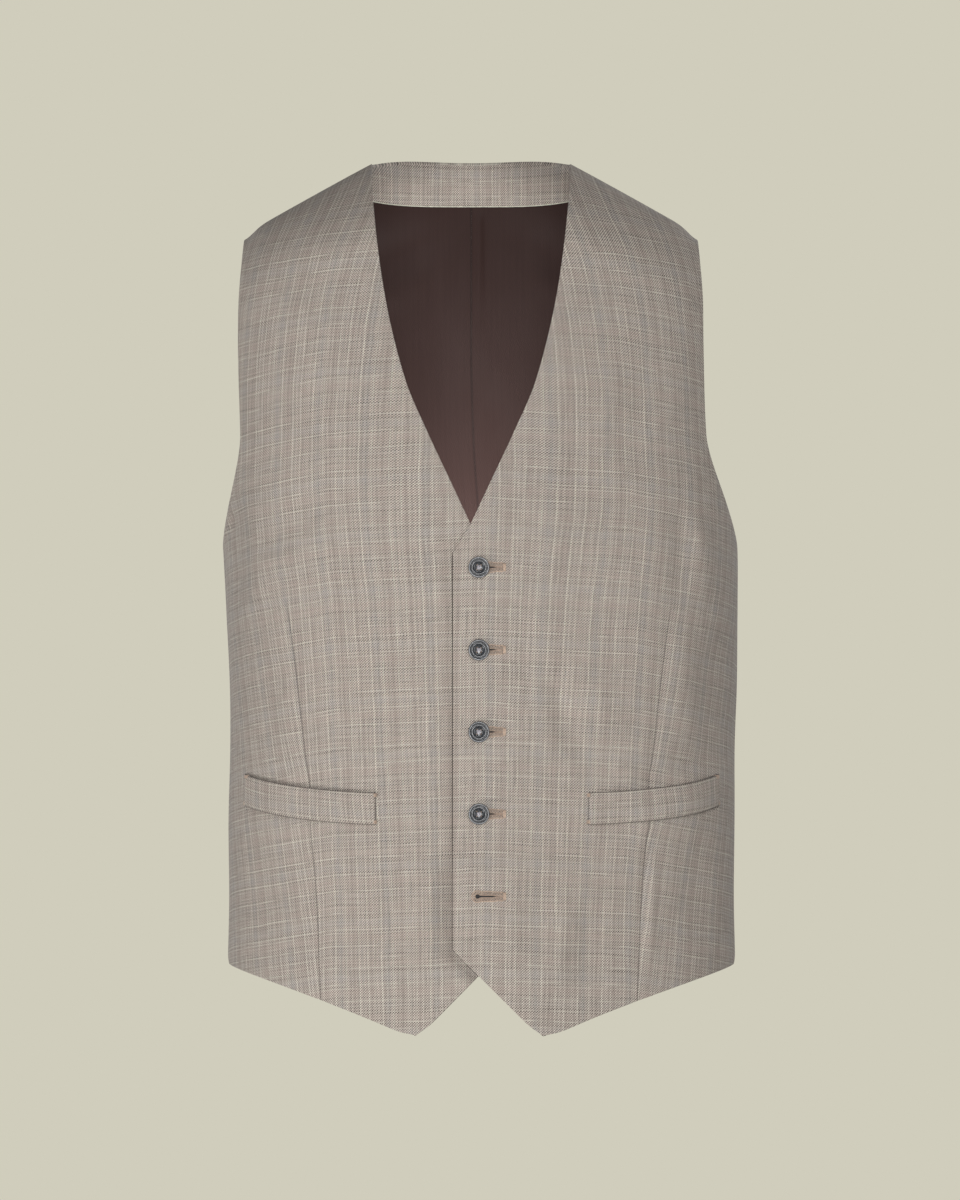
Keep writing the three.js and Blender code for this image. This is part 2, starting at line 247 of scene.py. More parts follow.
def form_point(side, angle, z):
    """Points of the form. side is 1 for the viewer's right and -1 for the left."""
    angle, z = np.broadcast_arrays(np.asarray(angle, float), np.asarray(z, float))
    at_back = angle > QUARTER
    flat = np.where(at_back, BACK_FLAT, FRONT_FLAT)
    depth = np.where(at_back, read_table(SECTIONS, "back", z), read_table(SECTIONS, "front", z))
    share = (np.cos(angle) - flat * np.cos(3 * angle)) / (1 - flat)
    x = form_x(side, angle, z)
    fall = np.clip((shoulder_line(x) - z) / np.where(at_back, BACK_ROLL, FRONT_ROLL), 0, 1)
    return np.stack([x, -depth * share * np.sqrt(1 - (1 - fall) ** 2), z], axis=-1)


def unit(vectors):
    return vectors / np.linalg.norm(vectors, axis=-1, keepdims=True)


def form_normal(side, angle, z):
    """Outward directions, from one step along the shoulder's slope and one down."""
    turn = 0.002
    drop = 0.01
    here = shoulder_line(form_x(side, angle, z))

    def beside(a):
        return form_point(side, a, z + shoulder_line(form_x(side, a, z)) - here)

    along = beside(angle + turn) - beside(angle - turn)
    up = form_point(side, angle, z) - form_point(side, angle, z - drop)
    return unit(np.cross(along, up) * side)


def stand_off(side, angle, z, distance):
    distance = np.asarray(distance, float)[..., None]
    return form_point(side, angle, z) + form_normal(side, angle, z) * distance


def armhole_angle(z):
    """Where the armhole's edge lies at a height, as an angle short of the side seam."""
    t = np.clip((z - ARMPIT_Z) / ARMHOLE_BEND, 0, 1)
    curve = (1 - (1 - t) ** 1.5) ** (2 / 3)
    return ARMHOLE_CUT * curve + TIP_CUT * smooth(z, TIP_CUT_LOW_Z, TIP_CUT_TOP_Z)


TIP_X = float(form_x(1, QUARTER - ARMHOLE_CUT - TIP_CUT, TIP_CUT_TOP_Z))
TIP_Z = float(shoulder_line(TIP_X))
BAND_END_X = NECK_CENTRE + BAND_END * (TIP_X - NECK_CENTRE)


def height_in_step(top_at, x, ends, g):
    """A row's height at x, kept in step with the line that the top row ends on."""
    drops = [top_at(end_x) - end_z for end_x, end_z in ends]
    return top_at(x) - mix(drops[0], drops[1], g)


def roll_drop(step, steps):
    return 1 - np.cos(QUARTER * (steps - step) / steps)


def lift_at(x, z):
    """How far the lapping front stands off at a point."""
    beside = 1 - smooth(x, LIFT_INNER, LIFT_OUTER)
    below = 1 - smooth(z, LAP_FROM["full"], LAP_FROM["z"])
    loose = 1 - smooth(z, LOOSE_FROM["full"], LOOSE_FROM["z"])
    return beside * (LAP_LIFT * below + LOOSE_LIFT * loose)


# Stretches of a front's edge from the hem up to the armpit, and the side seam's height at each
FRONT_STRETCHES = [
    {"steps": 4, "centre": 0, "across": POINT_ACROSS, "edge_z": POINT_Z, "side_z": SIDE_HEM_Z},
    {"steps": 12, "centre": 0, "across": -LAP, "edge_z": CUTAWAY_Z, "side_z": -490},
    {"steps": 1, "centre": 0, "across": -LAP, "edge_z": BREAK_Z, "side_z": -262},
    {"steps": 0, "centre": NECK_CENTRE, "across": 0, "edge_z": CROSSING_Z, "side_z": ARMPIT_Z},
]
UPPER_ROWS = 8
ROLL_ROWS = 5


def columns_of(rows):
    """A list of rows as one column of numbers for each name."""
    return {name: np.array([row[name] for row in rows], float)[:, None] for name in rows[0]}


def front_rows():
    rows = []
    for start, end in zip(FRONT_STRETCHES, FRONT_STRETCHES[1:]):
        steps = start["steps"] * FINE_ROWS
        for i in range(steps):
            row = {name: mix(start[name], end[name], i / steps) for name in start if name != "steps"}
            rows.append({**row, "straight": 0})
    upper = UPPER_ROWS * FINE_ROWS
    roll = ROLL_ROWS * FINE_ROWS
    for i in range(upper + roll + 1):
        t = min(1, i / upper)
        lift = 1 - roll_drop(i - upper, roll) if i > upper else 0
        edge_z = mix(CROSSING_Z, NECK_Z - FRONT_ROLL, t) + lift * FRONT_ROLL
        side_z = mix(ARMPIT_Z, TIP_Z - FRONT_ROLL, t**ARMHOLE_ROWS) + lift * FRONT_ROLL
        across = float(read_table(NECKLINE, "across", edge_z))
        row = {"centre": NECK_CENTRE, "across": across, "edge_z": edge_z, "side_z": side_z}
        rows.append({**row, "straight": t})
    return columns_of(rows)


def corner_rise(rows, g):
    """How far the hem is rounded up where it meets the side seam."""
    near_side = smooth(g, 1 - SIDE_ROUND_REACH / FRONT_WIDTH, 1)
    return SIDE_ROUND_UP * near_side * smooth(rows["side_z"] - SIDE_HEM_Z, SIDE_ROUND_TOP, 0)


def point_rise(rows, g):
    """How far the hem is rounded up at a front's point."""
    above = rows["edge_z"] - POINT_Z
    return POINT_ROUND * np.exp(-(((g * FRONT_WIDTH) ** 2 + above**2) / POINT_ROUND_REACH**2))


def front_place(side, rows, g):
    """Angles and heights of a front's grid. g runs from 0 at the front edge to 1 at the side."""
    edge_x = rows["centre"] + side * rows["across"]
    edge_angle = angle_at(share_at(side, edge_x, rows["edge_z"]))
    side_angle = QUARTER - armhole_angle(rows["side_z"])
    side_x = form_x(side, side_angle, rows["side_z"])
    x = mix(edge_x, side_x, g)
    bow = mix(HEM_BOW, BODY_BOW, smooth(rows["edge_z"], POINT_Z, BOW_TOP_Z))
    bowed_z = mix(rows["edge_z"], rows["side_z"], 1 - (1 - g) ** bow)
    ends = [(edge_x, rows["edge_z"]), (side_x, rows["side_z"])]
    z = mix(bowed_z, height_in_step(shoulder_line, x, ends, g), rows["straight"])
    straight_angle = np.where(g == 1, side_angle, angle_at(share_at(side, x, z)))
    angle = mix(mix(edge_angle, side_angle, g), straight_angle, rows["straight"])
    return angle, z + (point_rise(rows, g) + corner_rise(rows, g))


BACK_STEPS = {"body": 12, "blade": 8, "roll": 5}


def back_rows():
    rows = []
    body, blade, roll = (BACK_STEPS[name] * FINE_ROWS for name in ("body", "blade", "roll"))
    for i in range(body):
        t = i / body
        centre_z = mix(BACK_HEM_Z, ARMPIT_Z, t)
        rows.append({"centre_z": centre_z, "side_z": mix(SIDE_HEM_Z, ARMPIT_Z, t), "straight": 0})
    for i in range(blade + 1):
        t = i / blade
        centre_z = mix(ARMPIT_Z, BAND_LOW_Z - SEAM_GAP - BACK_ROLL, t)
        side_z = mix(ARMPIT_Z, TIP_Z - BACK_ROLL, t**ARMHOLE_ROWS)
        rows.append({"centre_z": centre_z, "side_z": side_z, "straight": t})
    for i in range(1, roll + 1):
        drop = BACK_ROLL * roll_drop(i, roll)
        centre_z = BAND_LOW_Z - SEAM_GAP - drop
        rows.append({"centre_z": centre_z, "side_z": TIP_Z - drop, "straight": 1})
    return columns_of(rows)


def band_low(x):
    """The band's lower edge: level across the back of the neck, then up to the shoulder seam."""
    out = np.minimum(1, np.abs(x - NECK_CENTRE) / (BAND_END_X - NECK_CENTRE))
    return mix(BAND_LOW_Z, shoulder_line(BAND_END_X), out**4)


def back_top(x):
    under_band = np.abs(x - NECK_CENTRE) < BAND_END_X - NECK_CENTRE - SEAM_GAP
    return np.where(under_band, band_low(x) - SEAM_GAP, shoulder_line(x))


def back_place(side, rows, g):
    """Angles and heights of a back half's grid. g runs from 0 at the centre seam to 1 at the side."""
    side_angle = QUARTER - armhole_angle(rows["side_z"])
    centre_x = read_table(SECTIONS, "centre", rows["centre_z"])
    ends = [
        (centre_x, rows["centre_z"]),
        (form_x(side, side_angle, rows["side_z"]), rows["side_z"]),
    ]
    x = mix(ends[0][0], ends[1][0], g)
    level_z = mix(rows["centre_z"], rows["side_z"], g) + corner_rise(rows, g)
    z = mix(level_z, height_in_step(back_top, x, ends, g), rows["straight"])
    straight_angle = np.where(g == 1, side_angle, angle_at(share_at(side, x, z)))
    return math.pi - mix(g * side_angle, straight_angle, rows["straight"]), z


# Soft folds, those of the fronts from the photo and those of the back as a guess: the depth,
# the half width and the path of each. A depth below 0 is a trough and one above 0 a ridge, and a path's
# points are places in the front view, which the back's halves mirror.
LEFT_FOLDS = {
    "armhole pull": (-2.4, 12, [(-158, -256), (-128, -230), (-88, -203)]),
    "armhole ridge": (2.0, 12, [(-170, -300), (-150, -262), (-116, -232)]),
    "under the arm": (-3.2, 10, [(-176, -206), (-173, -246), (-169, -300)]),
    "shoulder": (-1.6, 15, [(-158, -52), (-130, -62), (-100, -44)]),
    "chest": (-1.2, 20, [(-96, -92), (-102, -132), (-94, -170)]),
    "behind the dart": (2.0, 7, [(-137, -340), (-134, -370), (-131, -400)]),
    "over the welt": (-1.6, 9, [(-164, -404), (-130, -409), (-84, -412)]),
    "under the welt": (-1.6, 9, [(-110, -453), (-86, -442), (-60, -437)]),
    "below the dart": (-1.7, 8, [(-114, -452), (-109, -494), (-112, -542)]),
    "point": (2.0, 11, [(-46, -430), (-40, -500), (-31, -568)]),
    "hem": (-1.7, 9, [(-62, -480), (-54, -530), (-48, -572)]),
    "skirt": (1.4, 10, [(-82, -464), (-78, -512), (-80, -556)]),
    "side": (-1.6, 12, [(-160, -440), (-150, -490), (-148, -540)]),
}
RIGHT_FOLDS = {
    "foot of the neck": (-1.8, 6, [(12, -242), (24, -232), (42, -221)]),
    "beside the buttons": (-1.3, 8, [(27, -292), (31, -330), (36, -368)]),
    "waist": (-2.8, 9, [(44, -326), (62, -376), (88, -414)]),
    "waist ridge": (1.8, 12, [(66, -318), (84, -358), (106, -394)]),
    "chest edge": (-2.4, 13, [(128, -104), (113, -146), (98, -198)]),
    "chest": (1.5, 14, [(90, -112), (82, -150), (74, -196)]),
    "under the arm": (2.6, 9, [(152, -218), (157, -250), (158, -290)]),
    "side of the chest": (-2.6, 8, [(140, -214), (143, -254), (140, -300)]),
    "side": (-3.6, 17, [(174, -292), (168, -350), (170, -420)]),
    "side ridge": (2.0, 10, [(143, -306), (146, -352), (144, -396)]),
    "over the welt": (-2.2, 8, [(104, -412), (138, -405), (172, -397)]),
    "under the welt": (4.2, 13, [(98, -440), (134, -434), (168, -420)]),
    "dart below the welt": (-1.8, 3.6, [(117, -452), (114, -504), (112, -554)]),
    "behind the dart": (1.7, 4.5, [(122, -458), (119, -510), (116.5, -552)]),
    "beside the dart": (-1.6, 8, [(106, -462), (102, -512), (100, -556)]),
    "skirt": (-2.3, 12, [(46, -456), (41, -500), (36, -544)]),
    "skirt ridge": (1.9, 9, [(62, -482), (57, -524), (51, -570)]),
    "hem": (-1.7, 9, [(80, -490), (76, -530), (72, -562)]),
    "side of the skirt": (-2.2, 13, [(160, -446), (152, -494), (152, -536)]),
}
BACK_FOLDS = {
    "blade": (-2.4, 15, [(140, -210), (104, -238), (56, -252)]),
    "armhole pull": (2.0, 13, [(158, -262), (120, -284), (86, -296)]),
    "waist high": (-2.0, 11, [(160, -306), (112, -324), (66, -318)]),
    "waist ridge": (1.7, 12, [(152, -338), (100, -346), (52, -342)]),
    "waist low": (-1.9, 12, [(154, -374), (98, -362), (44, -370)]),
    "side": (-2.0, 12, [(160, -420), (150, -470), (152, -524)]),
    "skirt": (-2.0, 13, [(96, -436), (86, -482), (90, -530)]),
    "skirt ridge": (1.8, 13, [(62, -428), (54, -476), (58, -530)]),
    "neck": (-1.5, 11, [(34, -40), (62, -58), (98, -60)]),
}

# A fold widens from its start to its end, both as shares of its half width, and fades at its ends over
# shares of its length
FOLD_WIDTH_AT_START = 0.8
FOLD_WIDENS = 0.4
FOLD_FADE_IN = 0.3
FOLD_FADE_OUT = 0.36
FOLD_PAST_END = -0.02
FAR_AWAY = 1e9


def fold_field(x, z, folds):
    """How far the folds move the cloth out at each place."""
    total = np.zeros(np.broadcast(x, z).shape)
    for depth, half_width, places in folds.values():
        path = np.array(places, float)
        lengths = np.linalg.norm(np.diff(path, axis=0), axis=1)
        reach = np.concatenate([[0], np.cumsum(lengths)])
        nearest = np.full(total.shape, FAR_AWAY)
        along = np.zeros(total.shape)
        for k, length in enumerate(lengths):
            step = (path[k + 1] - path[k]) / length
            t = np.clip((x - path[k][0]) * step[0] + (z - path[k][1]) * step[1], 0, length)
            away = np.hypot(x - path[k][0] - t * step[0], z - path[k][1] - t * step[1])
            closer = away < nearest
            nearest = np.where(closer, away, nearest)
            along = np.where(closer, (reach[k] + t) / reach[-1], along)
        width = half_width * (FOLD_WIDTH_AT_START + FOLD_WIDENS * along)
        ends = smooth(along, FOLD_PAST_END, FOLD_FADE_IN) * smooth(1 - along, FOLD_PAST_END, FOLD_FADE_OUT)
        total = total + depth * np.exp(-((nearest / width) ** 2)) * ends
    return total


# The waist dart of each front, from its tip down to the hem. out: from the centre line
DART = [
    {"z": -281, "out": 136},
    {"z": -333, "out": 129},
    {"z": -413, "out": 120},
    {"z": -440, "out": 118.5},
    {"z": -486, "out": 115},
    {"z": -560, "out": 111},
]
DART_TIP_Z = -281
DART_FADE = 26
DART_DEPTH = 0.7
DART_WIDTH = 4.5


def beyond_dart(side, x, z):
    """How far a place lies beyond the dart's line, towards the side seam."""
    return side * x - read_table(DART, "out", z)


def dart_strength(z):
    return smooth(z, DART_TIP_Z, DART_TIP_Z - DART_FADE)


def welt_top(share):
    return WELT_TOP_Z + WELT_RISE * share**WELT_BOW


# Where the front falls back beside a welt: at the pocket's mouth under its top edge, and along its foot.
# from and full: shares of the welt's length over which it starts at each end
WELT_GIVES = [
    {"depth": 1.1, "below_top": 1.5, "width": 6, "from": 0.02, "full": 0.2},
    {"depth": 1.3, "below_top": WELT_HEIGHT + 0.4, "width": 1.7, "from": 0.0, "full": 0.03},
]


def pocket_gape(angle, z):
    """How far the front falls back from the welt, below 0, at each place."""
    share = np.clip((angle - WELT_START) / (WELT_END - WELT_START), 0, 1)
    above = z - welt_top(share)
    total = 0.0
    for row in WELT_GIVES:
        ends = smooth(share, row["from"], row["full"]) * smooth(1 - share, row["from"], row["full"])
        total = total - row["depth"] * ends * np.exp(-(((above + row["below_top"]) / row["width"]) ** 2))
    return total


def lap_edge(z):
    """Where the lapping front's edge runs, in x, from its point up to where the necklines cross."""
    return np.interp(z, [POINT_Z, CUTAWAY_Z, BREAK_Z, CROSSING_Z], [POINT_ACROSS, -LAP, -LAP, 0])


# The crease beside the lapping edge, where the fronts are buttoned and where they hang loose
CREASE_WIDTH = {"buttoned": 4.5, "loose": 7.5}
CREASE_DEPTH = {"buttoned": 1.6, "loose": 3.4}
CREASE_TOP = {"from": 2, "full": -9}


def lap_crease(side, x, z):
    """The front below falls back a little along the edge that laps over it."""
    if side > 0:
        return 0.0
    loose = smooth(z, LOOSE_FROM["z"], LOOSE_FROM["full"])
    width = mix(CREASE_WIDTH["buttoned"], CREASE_WIDTH["loose"], loose)
    depth = mix(CREASE_DEPTH["buttoned"], CREASE_DEPTH["loose"], loose)
    crease = np.exp(-(((x - lap_edge(z) + width / 3) / width) ** 2))
    return -depth * crease * smooth(z, CROSSING_Z + CREASE_TOP["from"], CROSSING_Z + CREASE_TOP["full"])


# How far a front's folds take to fade in from its lapped edge, its side and its shoulder seam, in
# millimetres, and at its side in radians
CLEAR_OF_LAP = {"from": 17, "full": 34}
CLEAR_OF_SIDE = 0.09
CLEAR_OF_SHOULDER = 26


def front_relief(side, x, z, angle):
    """Folds, dart and pocket of a front, as a distance outward."""
    depth = bpy.context.scene.waistcoat_sizes.fold_depth
    folds = fold_field(x, z, RIGHT_FOLDS if side > 0 else LEFT_FOLDS) * depth
    dart = -DART_DEPTH * dart_strength(z) * np.exp(-((beyond_dart(side, x, z) / DART_WIDTH) ** 2))
    clear_of_lap = smooth(side * x, CLEAR_OF_LAP["from"], CLEAR_OF_LAP["full"])
    clear_of_side = smooth(QUARTER - armhole_angle(z) - angle, 0, CLEAR_OF_SIDE)
    clear_of_shoulder = smooth(shoulder_line(x) - z, 0, CLEAR_OF_SHOULDER)
    soft = (folds * clear_of_side * clear_of_shoulder + dart + pocket_gape(angle, z)) * clear_of_lap
    return soft + lap_crease(side, x, z)


PLEAT = {"out": 5.5, "width": 3.2, "depth": 1.6, "foot_z": -96, "full_z": -30, "clear_of_band": 12}


def lining_pleat(x, z):
    """The ease pleat of the lining below the neck band, beside the centre seam."""
    fade = smooth(z, PLEAT["foot_z"], PLEAT["full_z"]) * smooth(back_top(x) - z, 0, PLEAT["clear_of_band"])
    return -PLEAT["depth"] * fade * np.exp(-(((x - NECK_CENTRE - PLEAT["out"]) / PLEAT["width"]) ** 2))


# Distances over which the back's folds fade in from its centre seam and its top, and the share of its half
# width from which they fade out at its side
CLEAR_OF_CENTRE = {"from": 2, "full": 24}
CLEAR_OF_TOP = 20
FADES_AT_SIDE = 0.93


def back_relief(side, x, z):
    """Folds of the back, as a distance outward."""
    depth = bpy.context.scene.waistcoat_sizes.fold_depth
    clear_of_seam = smooth(side * x, CLEAR_OF_CENTRE["from"], CLEAR_OF_CENTRE["full"])
    clear_of_top = smooth(back_top(x) - z, 0, CLEAR_OF_TOP)
    clear_of_side = smooth(share_at(side, x, z), 1, FADES_AT_SIDE)
    return fold_field(side * x, z, BACK_FOLDS) * depth * clear_of_seam * clear_of_top * clear_of_side


def on_front(side, x, z, out):
    """Points on a front's finished face, at places in the front view, stood out by a distance."""
    x, z = np.broadcast_arrays(np.asarray(x, float), np.asarray(z, float))
    angle = angle_at(share_at(side, x, z))
    lift = lift_at(x, z) if side > 0 else 0
    return stand_off(side, angle, z, lift + front_relief(side, x, z, angle) + out)


# How the check lies: the warp leans as the front was cut and shaped. out: how far its lines have moved
# out from the centre at each height
WARP_LEAN = [
    {"z": 30, "out": -24},
    {"z": -8, "out": -9},
    {"z": -42, "out": 5},
    {"z": -77, "out": 12.6},
    {"z": -112, "out": 16.9},
    {"z": -147, "out": 19.3},
    {"z": -181, "out": 19.3},
    {"z": -216, "out": 18.3},
    {"z": -251, "out": 15.6},
    {"z": -286, "out": 12.2},
    {"z": -355, "out": 9.0},
    {"z": -425, "out": 6.2},
    {"z": -495, "out": 3.2},
    {"z": -600, "out": 0},
]
LEAN_AT_CENTRE = 0.3
LEAN_GROWS = {"from": 15, "full": 95}
WEFT_DROP = 0.05
WEFT_SIDE_DROP = 0.11
WEFT_SIDE_FROM = 105
WEFT_SIDE_TOP = {"from": 0, "full": -120}
DART_WEDGE = 0.105
PATTERN_HALF = 182
PATTERN_DEPTH = 122
SECTION_STEPS = 721
ROLL_STEPS = 16


def section_reach(angle):
    """Length of cloth from the centre front or back round to an angle, on the pattern's section."""
    turn = np.linspace(0, QUARTER, SECTION_STEPS)
    x = PATTERN_HALF * across_at(turn)
    y = PATTERN_DEPTH * np.cos(turn)
    length = np.concatenate([[0], np.cumsum(np.hypot(np.diff(x), np.diff(y)))])
    return np.sign(angle) * np.interp(np.abs(angle), turn, length)


def roll_reach(x, z, depth, roll):
    """Extra length of cloth from the start of the shoulder's roll up to height z."""
    risen = 1 - np.clip((shoulder_line(x) - z) / roll, 0, 1)
    top = np.arcsin(np.clip(risen, 0, 1))
    total = np.zeros(np.shape(top))
    for k in range(ROLL_STEPS):
        turn = top * (k + 0.5) / ROLL_STEPS
        total = total + np.hypot(roll * np.cos(turn), depth * np.sin(turn)) * top / ROLL_STEPS
    return total - roll * risen


def flat_front(side, x, z, angle):
    """Where a place on a front lies in the flat cloth, before and beyond the dart."""
    reach = section_reach(angle)
    grown = smooth(reach, LEAN_GROWS["from"], LEAN_GROWS["full"])
    lean = read_table(WARP_LEAN, "out", z) * (LEAN_AT_CENTRE + (1 - LEAN_AT_CENTRE) * grown)
    across = read_table(SECTIONS, "centre", z) + side * (reach - lean)
    depth = read_table(SECTIONS, "front", z) * np.cos(angle)
    beyond = np.maximum(0, reach - WEFT_SIDE_FROM)
    side_drop = WEFT_SIDE_DROP * beyond * smooth(z, WEFT_SIDE_TOP["from"], WEFT_SIDE_TOP["full"])
    drop = WEFT_DROP * np.abs(reach) + side_drop
    along = z + roll_reach(x, z, depth, FRONT_ROLL) + drop
    wedge = DART_WEDGE * np.maximum(0, DART_TIP_Z - z)
    return np.stack([across, along], -1), np.stack([across + side * wedge, along], -1)


def flat_back(side, x, z, angle):
    """Where a place on the back or its lining lies in the flat cloth."""
    reach = section_reach(math.pi - angle)
    depth = read_table(SECTIONS, "back", z) * np.abs(np.cos(angle))
    return np.stack([side * reach, z + roll_reach(x, z, depth, BACK_ROLL)], -1)


def wall_faces(columns, rows, flip):
    """Faces of a closed wall of two grids, outer then inner, and what each face is."""
    count = (columns + 1) * (rows + 1)
    grid = np.arange(count).reshape(rows + 1, columns + 1)
    a, b, c, d = grid[:-1, :-1], grid[:-1, 1:], grid[1:, 1:], grid[1:, :-1]
    outer = np.stack([a, b, c, d], -1).reshape(-1, 4)
    inner = outer[:, ::-1] + count
    rims = []
    loops = [(grid[0, :-1], grid[0, 1:]), (grid[1:, -1], grid[:-1, -1])]
    loops += [(grid[-1, 1:], grid[-1, :-1]), (grid[:-1, 0], grid[1:, 0])]
    for k, (start, end) in enumerate(loops):
        quad = np.stack([end, start, start + count, end + count], -1)
        rims.append(quad[:, ::-1] if k % 2 else quad)
    faces = np.concatenate([outer, inner, *rims])
    kinds = np.repeat([0, 1, 2], [len(outer), len(inner), sum(len(rim) for rim in rims)])
    return (faces[:, ::-1] if flip else faces), kinds


def mesh_object(name, points, faces, materials):
    """A smooth-shaded object from points in millimetres."""
    mesh = bpy.data.meshes.new(name)
    mesh.from_pydata((np.asarray(points) * MM).tolist(), [], [list(map(int, face)) for face in faces])
    for material in materials:
        mesh.materials.append(material)
    mesh.shade_smooth()
    piece = bpy.data.objects.new(name, mesh)
    bpy.context.scene.collection.objects.link(piece)
    return piece


def add_flat_map(piece, name, flat):
    """Stores places in the flat cloth, in millimetres, as a UV map."""
    layer = piece.data.uv_layers.new(name=name)
    index = np.zeros(len(piece.data.loops), np.int32)
    piece.data.loops.foreach_get("vertex_index", index)
    layer.data.foreach_set("uv", flat[index].astype(np.float32).ravel())


def add_values(piece, name, values):
    attribute = piece.data.attributes.new(name, "FLOAT_VECTOR", "POINT")
    attribute.data.foreach_set("vector", np.asarray(values, np.float32).ravel())


EDGE_SEGMENTS = 3
EDGE_ANGLE = math.radians(55)


def round_edges(piece, width):
    bevel = piece.modifiers.new("Turned edge", "BEVEL")
    bevel.width = width * MM
    bevel.segments = EDGE_SEGMENTS
    bevel.limit_method = "ANGLE"
    bevel.angle_limit = EDGE_ANGLE


def cloth_wall(name, outer, inner, flats, materials, inner_kind=None, edge=0.5):
    """A wall of cloth between two grids of points, with its maps, materials and rounded edges."""
    rows, columns = outer.shape[0] - 1, outer.shape[1] - 1
    span = np.cross(outer[1, 1] - outer[0, 0], outer[1, 0] - outer[0, 1])
    flip = float(np.dot(span, outer[0, 0] - inner[0, 0])) < 0
    faces, kinds = wall_faces(columns, rows, flip)
    points = np.concatenate([outer.reshape(-1, 3), inner.reshape(-1, 3)])
    piece = mesh_object(name, points, faces, materials)
    if inner_kind is not None:
        slots = np.zeros(len(faces), np.int32)
        slots[kinds == 1] = inner_kind.ravel()
        piece.data.polygons.foreach_set("material_index", slots)
    for map_name, flat in flats.items():
        add_flat_map(piece, map_name, np.concatenate([flat.reshape(-1, 2)] * 2))
    round_edges(piece, edge)
    return piece


def tube(points, radius, sides=8, closed=False):
    """Points and faces of a round strand along a path. radius is one number or one for each point."""
    points = np.asarray(points, float)
    count = len(points)
    radius = np.broadcast_to(np.asarray(radius, float), (count,))
    if closed:
        ahead = np.roll(points, -1, axis=0) - np.roll(points, 1, axis=0)
    else:
        ahead = np.gradient(points, axis=0)
    ahead = unit(ahead)
    start = np.cross(ahead[0], (0, 0, 1) if abs(ahead[0][2]) < 0.9 else (1, 0, 0))
    beside = unit(start)
    rings = []
    for k in range(count):
        beside = unit(beside - ahead[k] * np.dot(beside, ahead[k]))
        other = np.cross(ahead[k], beside)
        turn = np.linspace(0, 2 * math.pi, sides, endpoint=False)[:, None]
        rings.append(points[k] + radius[k] * (np.cos(turn) * beside + np.sin(turn) * other))
    faces = []
    for k in range(count if closed else count - 1):
        following = (k + 1) % count
        for s in range(sides):
            t = (s + 1) % sides
            faces.append((k * sides + s, k * sides + t, following * sides + t, following * sides + s))
    if not closed:
        faces.append(tuple(range(sides))[::-1])
        faces.append(tuple((count - 1) * sides + s for s in range(sides)))
    return np.concatenate(rings), faces


class Bundle:
    """Gathers the points and faces of many strands into one piece."""

    def __init__(self):
        self.points = []
        self.faces = []
        self.count = 0

    def add(self, points, faces):
        self.points.append(np.asarray(points, float))
        self.faces += [tuple(i + self.count for i in face) for face in faces]
        self.count += len(points)

    def piece(self, name, material):
        return mesh_object(name, np.concatenate(self.points), self.faces, [material])


class Wiring:
    """Adds nodes to a tree and links them, one call a node."""

    def __init__(self, tree):
        self.tree = tree
        tree.nodes.clear()

    def add(self, kind, inputs=None, **settings):
        node = self.tree.nodes.new(kind)
        node.location = (190 * (len(self.tree.nodes) % 8), -240 * (len(self.tree.nodes) // 8))
        for name, value in settings.items():
            setattr(node, name, value)
        for name, value in (inputs or {}).items():
            self.set(node.inputs[name], value)
        return node

    def set(self, socket, value):
        if isinstance(value, bpy.types.NodeSocket):
            self.tree.links.new(value, socket)
        else:
            socket.default_value = value

    def math(self, operation, a, b=0.5, clamp=False):
        node = self.add("ShaderNodeMath", {0: a, 1: b}, operation=operation, use_clamp=clamp)
        return node.outputs[0]

    def times(self, a, b, clamp=False):
        return self.math("MULTIPLY", a, b, clamp)

    def mix_values(self, share, a, b):
        node = self.add("ShaderNodeMix", {0: share, 2: a, 3: b}, data_type="FLOAT")
        return node.outputs[0]

    def mix_colours(self, share, a, b, blend="MIX"):
        node = self.add("ShaderNodeMix", {0: share, 6: a, 7: b}, data_type="RGBA", blend_type=blend)
        return node.outputs[2]

    def mix_vectors(self, share, a, b):
        node = self.add("ShaderNodeMix", {0: share, 4: a, 5: b}, data_type="VECTOR")
        return node.outputs[1]

    def ramp(self, value, stops):
        """A grey ramp with a stop at each (place, value)."""
        node = self.add("ShaderNodeValToRGB", {"Fac": value})
        elements = node.color_ramp.elements
        while len(elements) < len(stops):
            elements.new(0.5)
        for element, (place, shade) in zip(elements, sorted(stops)):
            element.position = place
            element.color = (shade, shade, shade, 1)
        return node.outputs["Color"]

    def steps(self, value, low, high, start=0.0, end=1.0):
        inputs = {"Value": value, "From Min": low, "From Max": high, "To Min": start, "To Max": end}
        return self.add("ShaderNodeMapRange", inputs, interpolation_type="SMOOTHSTEP").outputs["Result"]

    def noise(self, vector, scale, detail=2.0, roughness=0.5):
        inputs = {"Vector": vector, "Scale": scale, "Detail": detail, "Roughness": roughness}
        return self.add("ShaderNodeTexNoise", inputs).outputs["Fac"]

    def stretched(self, vector, x, y, z=1):
        """The vector with each direction scaled by itself."""
        node = self.add("ShaderNodeVectorMath", {0: vector, 1: (x, y, z)}, operation="MULTIPLY")
        return node.outputs[0]

    def sine(self, turns):
        """A wave of that many turns, from -1 to 1."""
        return self.math("SINE", self.math("MULTIPLY", turns, 2 * math.pi), 0)

    def parts(self, vector):
        return self.add("ShaderNodeSeparateXYZ", {"Vector": vector}).outputs

    def attribute(self, name):
        """The X, Y and Z of a named attribute."""
        return self.parts(self.add("ShaderNodeAttribute", attribute_name=name).outputs["Vector"])

    def map_of(self, name):
        return self.add("ShaderNodeUVMap", uv_map=name).outputs["UV"]

    def bump(self, height, finish):
        return self.add("ShaderNodeBump", {**finish, "Height": height}).outputs["Normal"]


